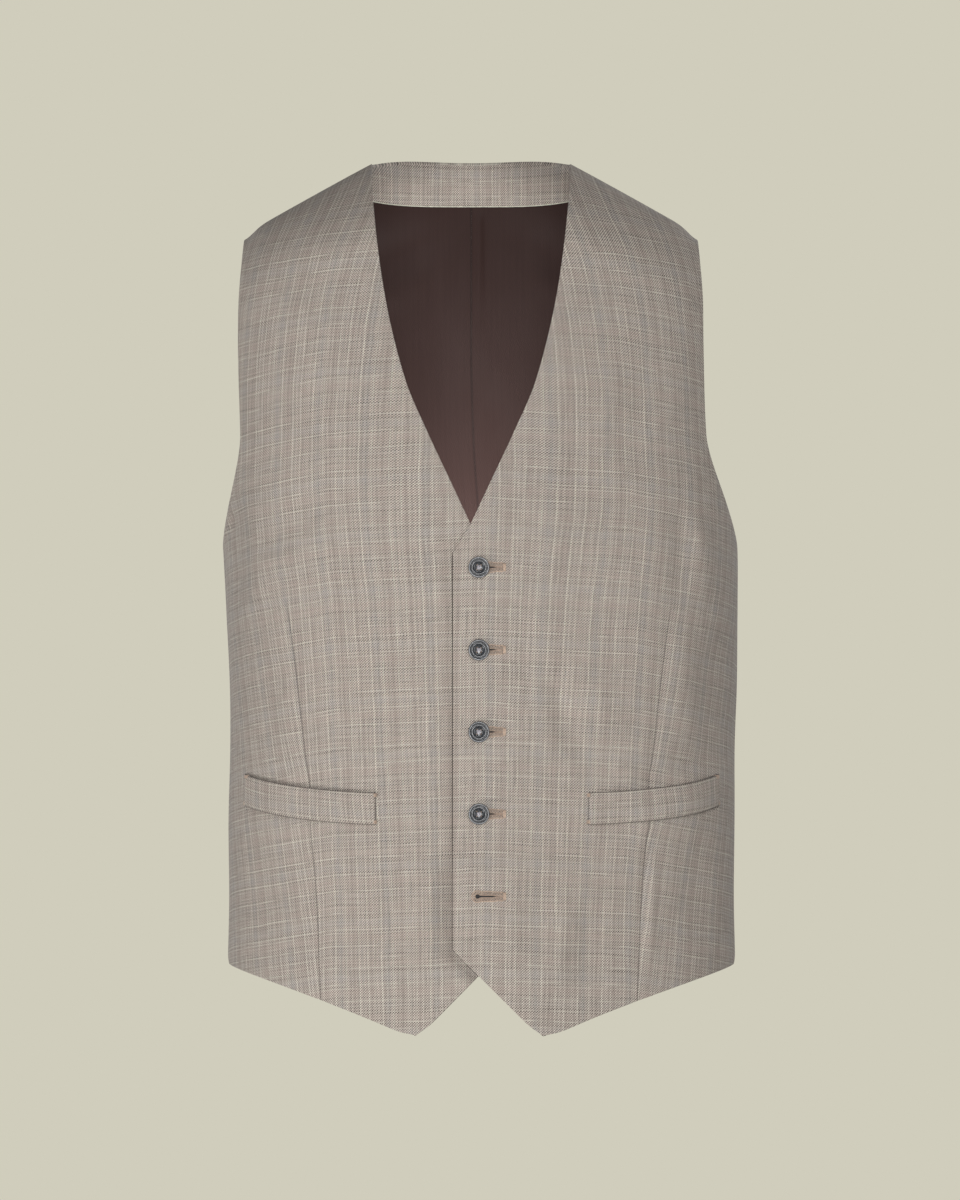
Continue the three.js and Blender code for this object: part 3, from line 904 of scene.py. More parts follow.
def new_group(name, inputs, outputs):
    """A node group with named inputs and outputs, and what adds nodes to it."""
    group = bpy.data.node_groups.new(name, "ShaderNodeTree")
    for label, kind, default in inputs:
        socket = group.interface.new_socket(label, in_out="INPUT", socket_type=kind)
        if default is not None:
            socket.default_value = default
    for label, kind in outputs:
        group.interface.new_socket(label, in_out="OUTPUT", socket_type=kind)
    wiring = Wiring(group)
    source = wiring.add("NodeGroupInput").outputs
    return group, wiring, source


# Pale lines of the check, as shares of one repeat, with how strongly each shows
CHECK_WIDTH = 33.5
CHECK_HEIGHT = 38.5
WARP_LINES = [(0.02, 1.0), (0.13, 0.45), (0.25, 0.8), (0.37, 0.5), (0.46, 0.3)]
WARP_LINES += [(0.54, 0.95), (0.62, 0.4), (0.73, 0.8), (0.87, 0.5)]
WEFT_LINES = [(0.03, 0.9), (0.12, 0.35), (0.22, 0.6), (0.33, 0.3), (0.43, 0.8)]
WEFT_LINES += [(0.54, 0.3), (0.66, 0.6), (0.73, 0.8), (0.91, 0.5)]
LINE_HALF = 0.5

# Warmer and cooler bars of the check: above a half is warm and below it cool
WARP_TINTS = [(0.0, 0.5), (0.14, 0.2), (0.3, 0.62), (0.45, 0.85), (0.62, 0.35), (0.8, 0.75), (0.97, 0.5)]
WEFT_TINTS = [(0.0, 0.45), (0.12, 0.8), (0.33, 0.3), (0.5, 0.55), (0.58, 0.9), (0.84, 0.2), (0.98, 0.45)]
STRIPE_WIDTH = 3.1
STRIPE_HEIGHT = 2.3
TWILL_WIDTH = 1.86
TWILL_HEIGHT = 1.8
TWILL_WAVES = (("SUBTRACT", 0.68), ("ADD", 0.45))

# How unevenly the yarns lie: scales of the noise across and along a yarn, and how far each moves it
SWAY_SCALE = 0.035
SWAY = 1.6
SLUB_SCALES = (0.8, 0.028)
BREAK_SCALES = (0.3, 0.055)
SLUB_GAIN = 0.7
SLUB_SHIFT = 1.2
LINE_OVER = 0.25

# How high each part of the weave stands in its relief
TWILL_HEIGHT_SHARE = 0.35
SLUB_HEIGHT_SHARE = 0.5
LINE_HEIGHT_SHARE = 0.35


def line_stops(lines, repeat):
    stops = [(0.0, 0.0)]
    for place, strength in lines:
        reach = LINE_HALF / repeat
        stops += [(place - reach, 0.0), (place, strength), (place + reach, 0.0)]
    return stops


def check_group():
    """The checked worsted: a fine twill of two warps and wefts with pale lines both ways."""
    inputs = [
        ("Flat", "NodeSocketVector", None),
        ("Ground", "NodeSocketColor", (0.4, 0.35, 0.3, 1)),
        ("Pale yarn", "NodeSocketColor", (0.8, 0.78, 0.7, 1)),
        ("Rust yarn", "NodeSocketColor", (0.4, 0.28, 0.22, 1)),
        ("Blue yarn", "NodeSocketColor", (0.3, 0.32, 0.34, 1)),
        ("Line strength", "NodeSocketFloat", 1.0),
        ("Twill strength", "NodeSocketFloat", 0.3),
        ("Tint strength", "NodeSocketFloat", 0.2),
    ]
    outputs = [("Color", "NodeSocketColor"), ("Height", "NodeSocketFloat")]
    group, w, source = new_group("Checked worsted", inputs, outputs)
    flat = source["Flat"]
    sway = w.times(w.math("SUBTRACT", w.noise(flat, SWAY_SCALE, 1.0), 0.5), SWAY)
    split = w.parts(flat)
    u = w.math("ADD", split["X"], sway)
    v = w.math("ADD", split["Y"], sway)
    warp_place = w.math("FRACT", w.math("DIVIDE", u, CHECK_WIDTH), 0)
    weft_place = w.math("FRACT", w.math("DIVIDE", v, CHECK_HEIGHT), 0)
    warp_line = w.ramp(warp_place, line_stops(WARP_LINES, CHECK_WIDTH))
    weft_line = w.ramp(weft_place, line_stops(WEFT_LINES, CHECK_HEIGHT))
    warp_tint = w.ramp(warp_place, WARP_TINTS)
    weft_tint = w.ramp(weft_place, WEFT_TINTS)
    slubs_up, slubs_across = (
        w.noise(w.stretched(flat, *scales), 1.0, 2.0, 0.7) for scales in (SLUB_SCALES, SLUB_SCALES[::-1])
    )
    broken_up, broken_across = (
        w.noise(w.stretched(flat, *scales), 1.0, 2.0, 0.6) for scales in (BREAK_SCALES, BREAK_SCALES[::-1])
    )
    wave = 0.0
    for direction, share in TWILL_WAVES:
        turns = w.math(direction, w.math("DIVIDE", u, TWILL_WIDTH), w.math("DIVIDE", v, TWILL_HEIGHT))
        wave = w.math("ADD", w.times(w.sine(turns), share), wave)
    warp_up = w.steps(wave, -0.6, 0.6)

    def yarn(place, pitch, line, slub, broken, lighten):
        """The colour of one set of yarns: ground, slubs, fine stripes and pale lines."""
        slub_gain = w.times(w.math("SUBTRACT", slub, 0.5), SLUB_GAIN)
        unevenly = w.math("ADD", w.math("DIVIDE", place, pitch), w.times(slub, SLUB_SHIFT))
        stripe = w.times(w.sine(unevenly), w.steps(broken, 0.3, 0.65, 0.1, 0.34))
        gain = w.math("ADD", w.times(source["Twill strength"], lighten), 1.0)
        gain = w.math("ADD", gain, w.math("ADD", slub_gain, stripe))
        ground = w.mix_colours(1.0, source["Ground"], gain, "MULTIPLY")
        patchy = w.steps(broken, 0.36, 0.58, 0.3, 1.0)
        share = w.times(w.times(line, source["Line strength"]), patchy, clamp=True)
        return w.mix_colours(share, ground, source["Pale yarn"])

    warp = yarn(u, STRIPE_WIDTH, warp_line, slubs_up, broken_up, 1.0)
    weft = yarn(v, STRIPE_HEIGHT, weft_line, slubs_across, broken_across, -1.0)
    shown = w.math("ADD", warp_up, w.times(w.math("SUBTRACT", warp_line, weft_line), LINE_OVER), clamp=True)
    woven = w.mix_colours(shown, weft, warp)
    tint = w.mix_values(warp_up, weft_tint, warp_tint)
    rust = w.times(w.steps(tint, 0.55, 0.85), source["Tint strength"])
    blue = w.times(w.steps(tint, 0.45, 0.2), source["Tint strength"])
    woven = w.mix_colours(rust, woven, source["Rust yarn"])
    woven = w.mix_colours(blue, woven, source["Blue yarn"])
    height = w.math("ADD", w.times(wave, TWILL_HEIGHT_SHARE), w.times(slubs_up, SLUB_HEIGHT_SHARE))
    line_height = w.times(w.math("MAXIMUM", warp_line, weft_line), LINE_HEIGHT_SHARE)
    w.add("NodeGroupOutput", {"Color": woven, "Height": w.math("ADD", height, line_height)})
    return group


# The satin's steep twill, and the scales of its streaks and clouds across and along the warp
SATIN_WIDTH = 1.5
SATIN_HEIGHT = 3.4
STREAK_SCALES = (0.5, 0.012)
CLOUD_SCALES = (0.02, 0.012)


def satin_group():
    """The lining: a fine satin twill with faint streaks along the warp."""
    inputs = [
        ("Flat", "NodeSocketVector", None),
        ("Ground", "NodeSocketColor", (0.05, 0.03, 0.03, 1)),
        ("Light yarn", "NodeSocketColor", (0.1, 0.07, 0.065, 1)),
        ("Streak strength", "NodeSocketFloat", 0.5),
    ]
    outputs = [("Color", "NodeSocketColor"), ("Height", "NodeSocketFloat"), ("Roughness", "NodeSocketFloat")]
    group, w, source = new_group("Satin lining", inputs, outputs)
    flat = source["Flat"]
    split = w.parts(flat)
    across = w.math("DIVIDE", split["X"], SATIN_WIDTH)
    along = w.math("DIVIDE", split["Y"], SATIN_HEIGHT)
    wave = w.sine(w.math("SUBTRACT", across, along))
    streaks = w.noise(w.stretched(flat, *STREAK_SCALES), 1.0, 3.0, 0.6)
    cloudy = w.noise(w.stretched(flat, *CLOUD_SCALES), 1.0, 2.0)
    share = w.math("ADD", w.times(wave, 0.16), w.times(streaks, 0.9))
    share = w.times(w.math("SUBTRACT", share, 0.2), source["Streak strength"], clamp=True)
    colour = w.mix_colours(share, source["Ground"], source["Light yarn"])
    height = w.math("ADD", w.times(wave, 0.5), streaks)
    roughness = w.steps(cloudy, 0.3, 0.7, 0.5, 0.62)
    w.add("NodeGroupOutput", {"Color": colour, "Height": height, "Roughness": roughness})
    return group


# Scales of the horn's blotches, and of its streaks across and along
BLOTCH_SCALE = 0.35
HORN_STREAK_SCALES = (1.6, 0.35)


def horn_group():
    """Mottled horn: cloudy blotches with darker drawn-out streaks."""
    inputs = [
        ("Place", "NodeSocketVector", None),
        ("Dark", "NodeSocketColor", (0.03, 0.035, 0.04, 1)),
        ("Light", "NodeSocketColor", (0.2, 0.22, 0.24, 1)),
    ]
    outputs = [("Color", "NodeSocketColor"), ("Roughness", "NodeSocketFloat")]
    group, w, source = new_group("Mottled horn", inputs, outputs)
    blotches = w.noise(source["Place"], BLOTCH_SCALE, 3.0, 0.6)
    streaks = w.noise(w.stretched(source["Place"], *HORN_STREAK_SCALES), 1.0, 4.0, 0.7)
    share = w.steps(w.math("ADD", w.times(blotches, 0.6), w.times(streaks, 0.4)), 0.36, 0.64)
    colour = w.mix_colours(share, source["Dark"], source["Light"])
    w.add("NodeGroupOutput", {"Color": colour, "Roughness": w.steps(streaks, 0.3, 0.7, 0.2, 0.34)})
    return group


def shared_group(name, build):
    return bpy.data.node_groups.get(name) or build()


def colour_of(name, share=1.0):
    """One of the user's colours with its alpha, darkened to a share of itself."""
    return (*(share * part for part in getattr(bpy.context.scene.waistcoat_colours, name)), 1)


def new_material(name, finish):
    """A material whose shader has that finish, with what adds nodes to it, and the shader."""
    material = bpy.data.materials.new(name)
    material.use_nodes = True
    wiring = Wiring(material.node_tree)
    shader = wiring.add("ShaderNodeBsdfPrincipled", finish)
    wiring.add("ShaderNodeOutputMaterial", {"Surface": shader.outputs["BSDF"]})
    return material, wiring, shader


def use_group(w, group, inputs):
    """Adds a group and sets its inputs."""
    node = w.add("ShaderNodeGroup", node_tree=group)
    for name, value in inputs.items():
        w.set(node.inputs[name], value)
    return node.outputs


# Each material's finish, by its shader's own sockets, and the relief of its weave
CHECK_FINISH = {"Roughness": 0.88, "Specular IOR Level": 0.25, "Sheen Weight": 0.06, "Sheen Roughness": 0.5}
CHECK_BUMP = {"Strength": 0.35, "Distance": 0.00035}
LINING_FINISH = {"Specular IOR Level": 0.14, "Sheen Weight": 0.05}
LINING_BUMP = {"Strength": 0.25, "Distance": 0.0002}
HORN_FINISH = {"Coat Weight": 0.6, "Coat Roughness": 0.12}
THREAD_FINISH = {"Roughness": 0.7, "Sheen Weight": 0.2}
THREAD_BUMP = {"Strength": 0.4, "Distance": 0.0001}
THREAD_TWIST_SCALE = 1400.0
THREAD_SHADE = 0.62
FLOOR_FINISH = {"Roughness": 0.9}

# Painted shade: fine dark lines in the seam grooves of the darts and the back's centre seam, and painted
# shadow beside the lapping edge and round the welts. from and full: the distances in millimetres from an edge
# where its line starts and is at its darkest, and dark: how far it then goes towards the shade
DART_SHADE_LINE = {"from": 0.75, "full": 0.1, "dark": 0.45}
LAP_SHADOW_LINE = {"from": 1.3, "full": 0.4, "dark": 0.85}
WELT_SHADOW_LINE = {"from": 0.9, "full": 0.3, "dark": 0.5}
LINING_SEAM_SHADE_LINE = {"from": 1.3, "full": 0.3, "dark": 0.4}
PAINTED_LINE_SHADE = (0.03, 0.024, 0.02, 1)
LINING_PAINTED_SHADE = (0.008, 0.005, 0.005, 1)
DART_SINKS = 2.0

# What the lap's and the welts' attributes rise to at an edge: they are less by 1 for each millimetre away,
# so that 0 is far from every edge
LINE_NEAR = 10


def painted_shade_strength(w, near, line):
    """The strength of a line of painted shade, from how near its edge is."""
    shown = w.steps(near, LINE_NEAR - line["from"], LINE_NEAR - line["full"])
    return w.times(shown, line["dark"])


def check_material(name, has_dart=False):
    """The front cloth. Its map is flat_cut, and beyond a dart flat_side.

    A front's attribute dart holds how far a place lies beyond the dart, the dart's strength there and how
    near the lapping edge is. A welt's attribute edge holds how near its ends, its top and its foot are.
    """
    found = bpy.data.materials.get(name)
    if found:
        return found
    colours = bpy.context.scene.waistcoat_colours
    material, w, shader = new_material(name, CHECK_FINISH)
    flat = w.map_of("flat_cut")
    if has_dart:
        dart = w.attribute("dart")
        beyond = w.math("GREATER_THAN", dart["X"], 0.0)
        flat = w.mix_vectors(beyond, flat, w.map_of("flat_side"))
    inputs = {
        "Flat": flat,
        "Ground": colour_of("ground"),
        "Pale yarn": colour_of("pale_yarn"),
        "Rust yarn": colour_of("rust_yarn"),
        "Blue yarn": colour_of("blue_yarn"),
        "Line strength": colours.line_strength,
        "Twill strength": colours.twill_strength,
        "Tint strength": colours.tint_strength,
    }
    woven = use_group(w, shared_group("Checked worsted", check_group), inputs)
    height = woven["Height"]
    # Painted shade in the dart's seam groove, and painted shadow on the front below along the lapping edge
    if has_dart:
        away = w.math("ABSOLUTE", dart["X"], 0)
        seam = w.times(w.steps(away, DART_SHADE_LINE["from"], DART_SHADE_LINE["full"]), dart["Y"])
        height = w.math("SUBTRACT", height, w.times(seam, DART_SINKS))
        line = w.math("MAXIMUM", w.times(seam, DART_SHADE_LINE["dark"]), painted_shade_strength(w, dart["Z"], LAP_SHADOW_LINE))
    else:
        # Painted shadow along the welt's ends, its top and its foot
        edge = w.attribute("edge")
        nearest = w.math("MAXIMUM", w.math("MAXIMUM", edge["X"], edge["Y"]), edge["Z"])
        line = painted_shade_strength(w, nearest, WELT_SHADOW_LINE)
    w.set(shader.inputs["Base Color"], w.mix_colours(line, woven["Color"], PAINTED_LINE_SHADE))
    w.set(shader.inputs["Normal"], w.bump(height, CHECK_BUMP))
    return material


def satin_material():
    """The lining cloth. Its attribute seam holds the distance from the centre seam, and 1 on a back."""
    name = "Lining cloth"
    found = bpy.data.materials.get(name)
    if found:
        return found
    material, w, shader = new_material(name, LINING_FINISH)
    inputs = {"Ground": colour_of("lining"), "Light yarn": colour_of("lining_light")}
    inputs["Flat"] = w.map_of("flat_cut")
    satin = use_group(w, shared_group("Satin lining", satin_group), inputs)
    # Painted shade in the groove of the centre seam
    seam = w.attribute("seam")
    shown = w.steps(seam["X"], LINING_SEAM_SHADE_LINE["from"], LINING_SEAM_SHADE_LINE["full"])
    line = w.times(shown, w.times(seam["Y"], LINING_SEAM_SHADE_LINE["dark"]))
    w.set(shader.inputs["Base Color"], w.mix_colours(line, satin["Color"], LINING_PAINTED_SHADE))
    w.set(shader.inputs["Roughness"], satin["Roughness"])
    w.set(shader.inputs["Normal"], w.bump(satin["Height"], LINING_BUMP))
    return material


# How rubbed the horn is and where a highlight is painted on it, from a button's middle out to its rim: its
# two rings are the palest, partly wear and partly painted highlight
BUTTON_WEAR_AND_HIGHLIGHT_REACH = 8
BUTTON_WEAR_AND_HIGHLIGHT = [
    (0.0, 0.1),
    (0.5, 0.0),
    (0.56, 0.6),
    (0.63, 0.6),
    (0.68, 0.0),
    (0.76, 0.0),
    (0.8, 1.0),
    (0.87, 1.0),
    (0.9, 0.0),
]


def horn_material():
    """The buttons' horn. Its attribute turned holds the distance out from a button's middle."""
    name = "Horn"
    found = bpy.data.materials.get(name)
    if found:
        return found
    material, w, shader = new_material(name, HORN_FINISH)
    inputs = {"Dark": colour_of("horn_dark"), "Light": colour_of("horn_light")}
    inputs["Place"] = w.map_of("button_face")
    horn = use_group(w, shared_group("Mottled horn", horn_group), inputs)
    out = w.attribute("turned")["X"]
    # The rings' rubbed wear and painted highlight, over the horn's own colour
    wear_and_highlight = w.ramp(w.math("DIVIDE", out, BUTTON_WEAR_AND_HIGHLIGHT_REACH), BUTTON_WEAR_AND_HIGHLIGHT)
    w.set(shader.inputs["Base Color"], w.mix_colours(wear_and_highlight, horn["Color"], colour_of("horn_rim")))
    w.set(shader.inputs["Roughness"], horn["Roughness"])
    return material


def thread_material(name, colour, share=1.0):
    """Thread in one of the user's colours, darkened to a share of it where it is painted in shade, and broken
    up by its twist.
    """
    found = bpy.data.materials.get(name)
    if found:
        return found
    material, w, shader = new_material(name, THREAD_FINISH)
    twist = w.noise(w.add("ShaderNodeTexCoord").outputs["Object"], THREAD_TWIST_SCALE, 2.0)
    shown = w.steps(twist, 0.35, 0.65)
    shade = w.mix_colours(shown, colour_of(colour, THREAD_SHADE * share), colour_of(colour, share))
    w.set(shader.inputs["Base Color"], shade)
    w.set(shader.inputs["Normal"], w.bump(twist, THREAD_BUMP))
    return material


def ride(piece, slot, *nodes):
    """The piece stands for its nodes and goes with the one body."""
    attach(piece, "root")
    if nodes:
        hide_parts(*nodes)
    return piece


# Facing of front cloth on the inner side of each front: a share of its width, and rows up from its hem
FACING_SHARE = 0.3
HEM_FACING_ROWS = 20


def build_front(name, side):
    """One front: its two faces stand off the form, and its side and shoulder meet the back at the seams."""
    rows = front_rows()
    g = np.linspace(0, 1, COLUMNS_FRONT + 1)[None, :]
    angle, z = front_place(side, rows, g)
    x = form_x(side, angle, z)
    lift = lift_at(x, z) if side > 0 else np.zeros(x.shape)
    distance = lift + front_relief(side, x, z, angle)
    outer = stand_off(side, angle, z, distance)
    inner = stand_off(side, angle, z, distance - FRONT_THICKNESS)
    at_seam = np.zeros(x.shape, bool)
    at_seam[-1] = True
    at_seam[:, -1] |= rows["side_z"][:, 0] <= ARMPIT_Z
    for grid in (outer, inner):
        grid[..., 1] -= at_seam * SEWN_GAP / 2
    before, beyond = flat_front(side, x, z, angle)
    inner_kind = np.ones((x.shape[0] - 1, COLUMNS_FRONT), np.int32)
    inner_kind[:, : int(FACING_SHARE * COLUMNS_FRONT)] = 0
    inner_kind[:HEM_FACING_ROWS] = 0
    materials = [check_material("Checked front cloth", has_dart=True), satin_material()]
    maps = {"flat_cut": before, "flat_side": beyond}
    piece = cloth_wall(name, outer, inner, maps, materials, inner_kind)
    # How near the lapping edge is on the front below, for the painted shadow beside it; the inner face gets
    # no painted shade
    lap_shadow_near = LINE_NEAR + x - lap_edge(z) if side < 0 else np.zeros(x.shape)
    values = np.stack([beyond_dart(side, x, z), dart_strength(z), lap_shadow_near], -1).reshape(-1, 3)
    no_painted_shade = values * (1, 0, 0)
    add_values(piece, "dart", np.concatenate([values, no_painted_shade]))
    return piece


BAND_END_CLEAR = 0.01


def build_back(name, side, inward, thickness, first_row, pleat=None):
    """One half of the back or of its lining, whose outer face lies that far in from the form."""
    rows = {key: value[first_row:] for key, value in back_rows().items()}
    g = np.linspace(0, 1, COLUMNS_BACK + 1)[None, :]
    angle, z = back_place(side, rows, g)
    x = form_x(side, angle, z)
    relief = back_relief(side, x, z) + (pleat(x, z) if pleat else 0)
    grids = []
    at_seam = np.zeros(x.shape, bool)
    at_seam[-1, (g[0] > BAND_END - BAND_END_CLEAR)] = True
    at_seam[:, -1] |= rows["side_z"][:, 0] <= ARMPIT_Z
    for depth in (inward, inward + thickness):
        grid = stand_off(side, angle, z, relief - depth)
        grid[..., 1] += at_seam * SEWN_GAP / 2
        grid[:, 0, 0] += side * SEWN_GAP / 2
        grids.append(grid)
    maps = {"flat_cut": flat_back(side, x, z, angle)}
    piece = cloth_wall(name, *grids, maps, [satin_material()], edge=0.4)
    from_seam = np.stack([np.abs(x - x[:, :1]), np.ones(x.shape), np.zeros(x.shape)], -1).reshape(-1, 3)
    add_values(piece, "seam", np.concatenate([from_seam] * 2))
    return piece


# The band's flat cut is a little longer and deeper than what shows of it
BAND_CUT_LENGTH = 1.12
BAND_CUT_DEPTH = 1.02
BAND_CUT_UP = 4


def build_band(name):
    """The band round the back of the neck, from one shoulder seam to the other."""
    g = np.linspace(-1, 1, COLUMNS_BAND + 1)[None, :]
    down = np.linspace(0, 1, ROWS_BAND + 1)[:, None]
    share = np.abs(g)
    upper_x = NECK_HALF * np.sin(share * QUARTER)
    lower_x = (BAND_END_X - NECK_CENTRE - SEAM_GAP) * share
    upper_z = mix(NECK_BACK_Z, NECK_Z, np.sin(share * QUARTER) ** 4)
    out = mix(upper_x, lower_x, down)
    between_z = mix(upper_z, band_low(NECK_CENTRE + lower_x), down)
    z = np.where(share == 1, shoulder_line(NECK_CENTRE + out), between_z)
    angle = math.pi - angle_at(out / read_table(SECTIONS, "half", z))
    grids = []
    for inward in (0, BAND_THICKNESS):
        left = stand_off(-1, angle, z, -inward)
        right = stand_off(1, angle, z, -inward)
        grid = np.where((g < 0)[..., None], left, right)
        grid[..., 1] += (share == 1) * SEWN_GAP / 2
        grids.append(grid)
    flat = np.stack([np.sign(g) * out * BAND_CUT_LENGTH, z * BAND_CUT_DEPTH + BAND_CUT_UP], -1)
    return cloth_wall(name, *grids, {"flat_cut": flat}, [check_material("Checked cloth")], edge=0.7)


EDGING_POINTS = 97
EDGING_REACH = 0.985
EDGING_UP = 0.25
EDGING_OUT = 0.15
EDGING_RADIUS = 0.42


def build_band_edging(name):
    """The pale corded edge between the neck band and the lining."""
    share = np.linspace(-1, 1, EDGING_POINTS)
    side = np.where(share < 0, -1, 1)
    out = (BAND_END_X - NECK_CENTRE - SEAM_GAP) * np.abs(share) * EDGING_REACH
    z = band_low(NECK_CENTRE + out) + EDGING_UP
    angle = math.pi - angle_at(out / read_table(SECTIONS, "half", z))
    distance = -BAND_THICKNESS - EDGING_OUT
    edge = np.array([stand_off(s, a, h, distance) for s, a, h in zip(side, angle, z)])
    strand = Bundle()
    strand.add(*tube(edge.reshape(-1, 3), EDGING_RADIUS))
    return strand.piece(name, thread_material("Edging", "pale_yarn"))


# The welt is cut along the cloth, so its check turns with its slope
WELT_CUT_TILT = 0.9
WELT_CUT_UP = 6
WELT_PUFF = 0.3


def build_welt(name, side):
    """A pocket's welt, pressed flat where its ends and its foot are sewn down."""
    share = np.linspace(0, 1, COLUMNS_WELT + 1)[None, :]
    up = np.linspace(0, 1, ROWS_WELT + 1)[:, None]
    angle = mix(WELT_START, WELT_END, share) + 0 * up
    z = welt_top(share) - WELT_HEIGHT * (1 - up)
    x = form_x(side, angle, z)
    lift = lift_at(x, z) if side > 0 else 0
    relief = lift + front_relief(side, x, z, angle) - pocket_gape(angle, z)
    sewn = np.minimum(up * WELT_HEIGHT, WELT_FLAT)
    sewn = np.minimum(sewn, np.minimum(share, 1 - share) * WELT_LENGTH) / WELT_FLAT
    pressed = mix(WELT_SEWN, WELT_THICKNESS + WELT_PUFF, np.sin(QUARTER * sewn))
    outer = stand_off(side, angle, z, relief + SEAM_GAP + pressed)
    inner = stand_off(side, angle, z, relief + SEAM_GAP)
    before, _ = flat_front(side, x, z, angle)
    tilt = (welt_top(share) - WELT_TOP_Z) * WELT_CUT_TILT
    flat = np.stack([before[..., 0], z - tilt + WELT_CUT_UP], -1)
    piece = cloth_wall(name, outer, inner, {"flat_cut": flat}, [check_material("Checked cloth")], edge=0.6)
    # How near the ends, the top and the foot are, for the painted shadow along them
    ends = LINE_NEAR - np.minimum(share, 1 - share) * WELT_LENGTH + 0 * up
    top, foot = (LINE_NEAR - part * WELT_HEIGHT + 0 * share for part in (1 - up, up))
    near = np.stack([ends, top, foot], -1).reshape(-1, 3)
    add_values(piece, "edge", np.concatenate([near, near]))
    return piece


# A button's section, from its back out round the rim and in to the middle
BUTTON_PROFILE = [
    {"out": 0, "up": 0},
    {"out": 5.6, "up": 0},
    {"out": 6.5, "up": 0.2},
    {"out": 7.15, "up": 0.75},
    {"out": 7.45, "up": 1.5},
    {"out": 7.42, "up": 2.2},
    {"out": 7.15, "up": 2.8},
    {"out": 6.75, "up": 3.1},
    {"out": 6.4, "up": 3.05},
    {"out": 6.05, "up": 2.6},
    {"out": 5.85, "up": 1.9},
    {"out": 5.55, "up": 1.65},
    {"out": 5.25, "up": 1.9},
    {"out": 5.05, "up": 2.5},
    {"out": 4.75, "up": 2.72},
    {"out": 4.4, "up": 2.65},
    {"out": 4.1, "up": 2.2},
    {"out": 3.8, "up": 1.65},
    {"out": 3.3, "up": 1.45},
    {"out": 0, "up": 1.4},
]
BUTTON_SIDES = 72
SHANK_RADIUS = 2.9
BUTTON_HOLE_RADIUS = 0.85
BUTTON_HOLE_OUT = 1.3
BUTTON_HOLE_SIDES = 20
HOLE_CORNERS = [(1, 1), (-1, 1), (-1, -1), (1, -1)]
DRILL_FROM = -2
DRILL_TO = 5


def lathe(profile, sides):
    """Points and faces of a solid turned about Z, whose section starts and ends on the axis."""
    turn = np.linspace(0, 2 * math.pi, sides, endpoint=False)
    points = [(0, 0, profile[0]["up"])]
    for row in profile[1:-1]:
        points += [(row["out"] * math.cos(a), row["out"] * math.sin(a), row["up"]) for a in turn]
    points.append((0, 0, profile[-1]["up"]))
    rings = len(profile) - 2
    faces = []
    for s in range(sides):
        t = (s + 1) % sides
        faces.append((0, 1 + t, 1 + s))
        for k in range(rings - 1):
            low, high = 1 + k * sides, 1 + (k + 1) * sides
            faces.append((low + s, low + t, high + t, high + s))
        top = 1 + (rings - 1) * sides
        faces.append((top + s, top + t, len(points) - 1))
    return np.array(points, float), faces


def button_mesh():
    """The turned button with its four holes cut through."""
    body = mesh_object("button_blank", *lathe(BUTTON_PROFILE, BUTTON_SIDES), [])
    rod = [{"out": 0, "up": DRILL_FROM}]
    rod += [{"out": BUTTON_HOLE_RADIUS, "up": up} for up in (DRILL_FROM, DRILL_TO)]
    rod += [{"out": 0, "up": DRILL_TO}]
    drills = Bundle()
    for x, y in HOLE_CORNERS:
        points, faces = lathe(rod, BUTTON_HOLE_SIDES)
        drills.add(points + (x * BUTTON_HOLE_OUT, y * BUTTON_HOLE_OUT, 0), faces)
    cutter = drills.piece("button_drills", None)
    cut = body.modifiers.new("Holes", "BOOLEAN")
    cut.operation = "DIFFERENCE"
    cut.object = cutter
    cut.solver = "EXACT"
    evaluated = body.evaluated_get(bpy.context.evaluated_depsgraph_get())
    mesh = bpy.data.meshes.new_from_object(evaluated)
    bpy.data.objects.remove(body)
    bpy.data.objects.remove(cutter)
    return mesh


def button_frame(side, z, out):
    """The middle of a button's back and its directions across, up and outward."""
    angle = angle_at(share_at(side, 0.0, z))
    lift = lift_at(0.0, z) if side > 0 else 0.0
    outward = form_normal(side, angle, z)
    across = unit(np.array([1.0, 0, 0]) - outward * outward[0])
    up = np.cross(outward, across)
    return stand_off(side, angle, z, lift + out), across, up, outward


def placed(points, place):
    """Points in a button's own frame, put in place."""
    middle, across, up, outward = place
    points = np.asarray(points, float)
    return middle + points[:, :1] * across + points[:, 1:2] * up + points[:, 2:] * outward


# How far the horn's pattern moves with depth, and from one button to the next
HORN_DEPTH_SHIFT = 0.7
HORN_BUTTON_SHIFT = 17

# The thread crosses the button's face between its holes, one strand of each pair on each side
THREAD_APART = 0.3
THREAD_REACH = 1.32
THREAD_RISE = 1.6
THREAD_BOW = 0.42
THREAD_OVER = 0.35
THREAD_SUNK = 1.0
THREAD_RADIUS = 0.22
THREAD_POINTS = 13

# The thread wound under a button, in painted shadow, and a disc of painted shadow behind it as its seat
SHANK_SIDES = 32
SHANK_IN = 0.14
SHADOW_SEAT_OUT = 0.1
SHANK_THREAD_RADIUS = 0.12


def build_horn(number, blank, place):
    mesh = blank.copy()
    local = np.zeros(len(mesh.vertices) * 3)
    mesh.vertices.foreach_get("co", local)
    local = local.reshape(-1, 3) / MM
    mesh.vertices.foreach_set("co", (placed(local, place) * MM).ravel())
    mesh.materials.append(horn_material())
    button = bpy.data.objects.new(f"button_{number}_horn", mesh)
    bpy.context.scene.collection.objects.link(button)
    face = local[:, :2] + local[:, 2:] * HORN_DEPTH_SHIFT + number * HORN_BUTTON_SHIFT
    add_flat_map(button, "button_face", face)
    add_values(button, "turned", np.stack([np.hypot(local[:, 0], local[:, 1]), *local[:, 1:].T], -1))
    mesh.shade_smooth()
    ride(button, "horn", f"button_{number}")


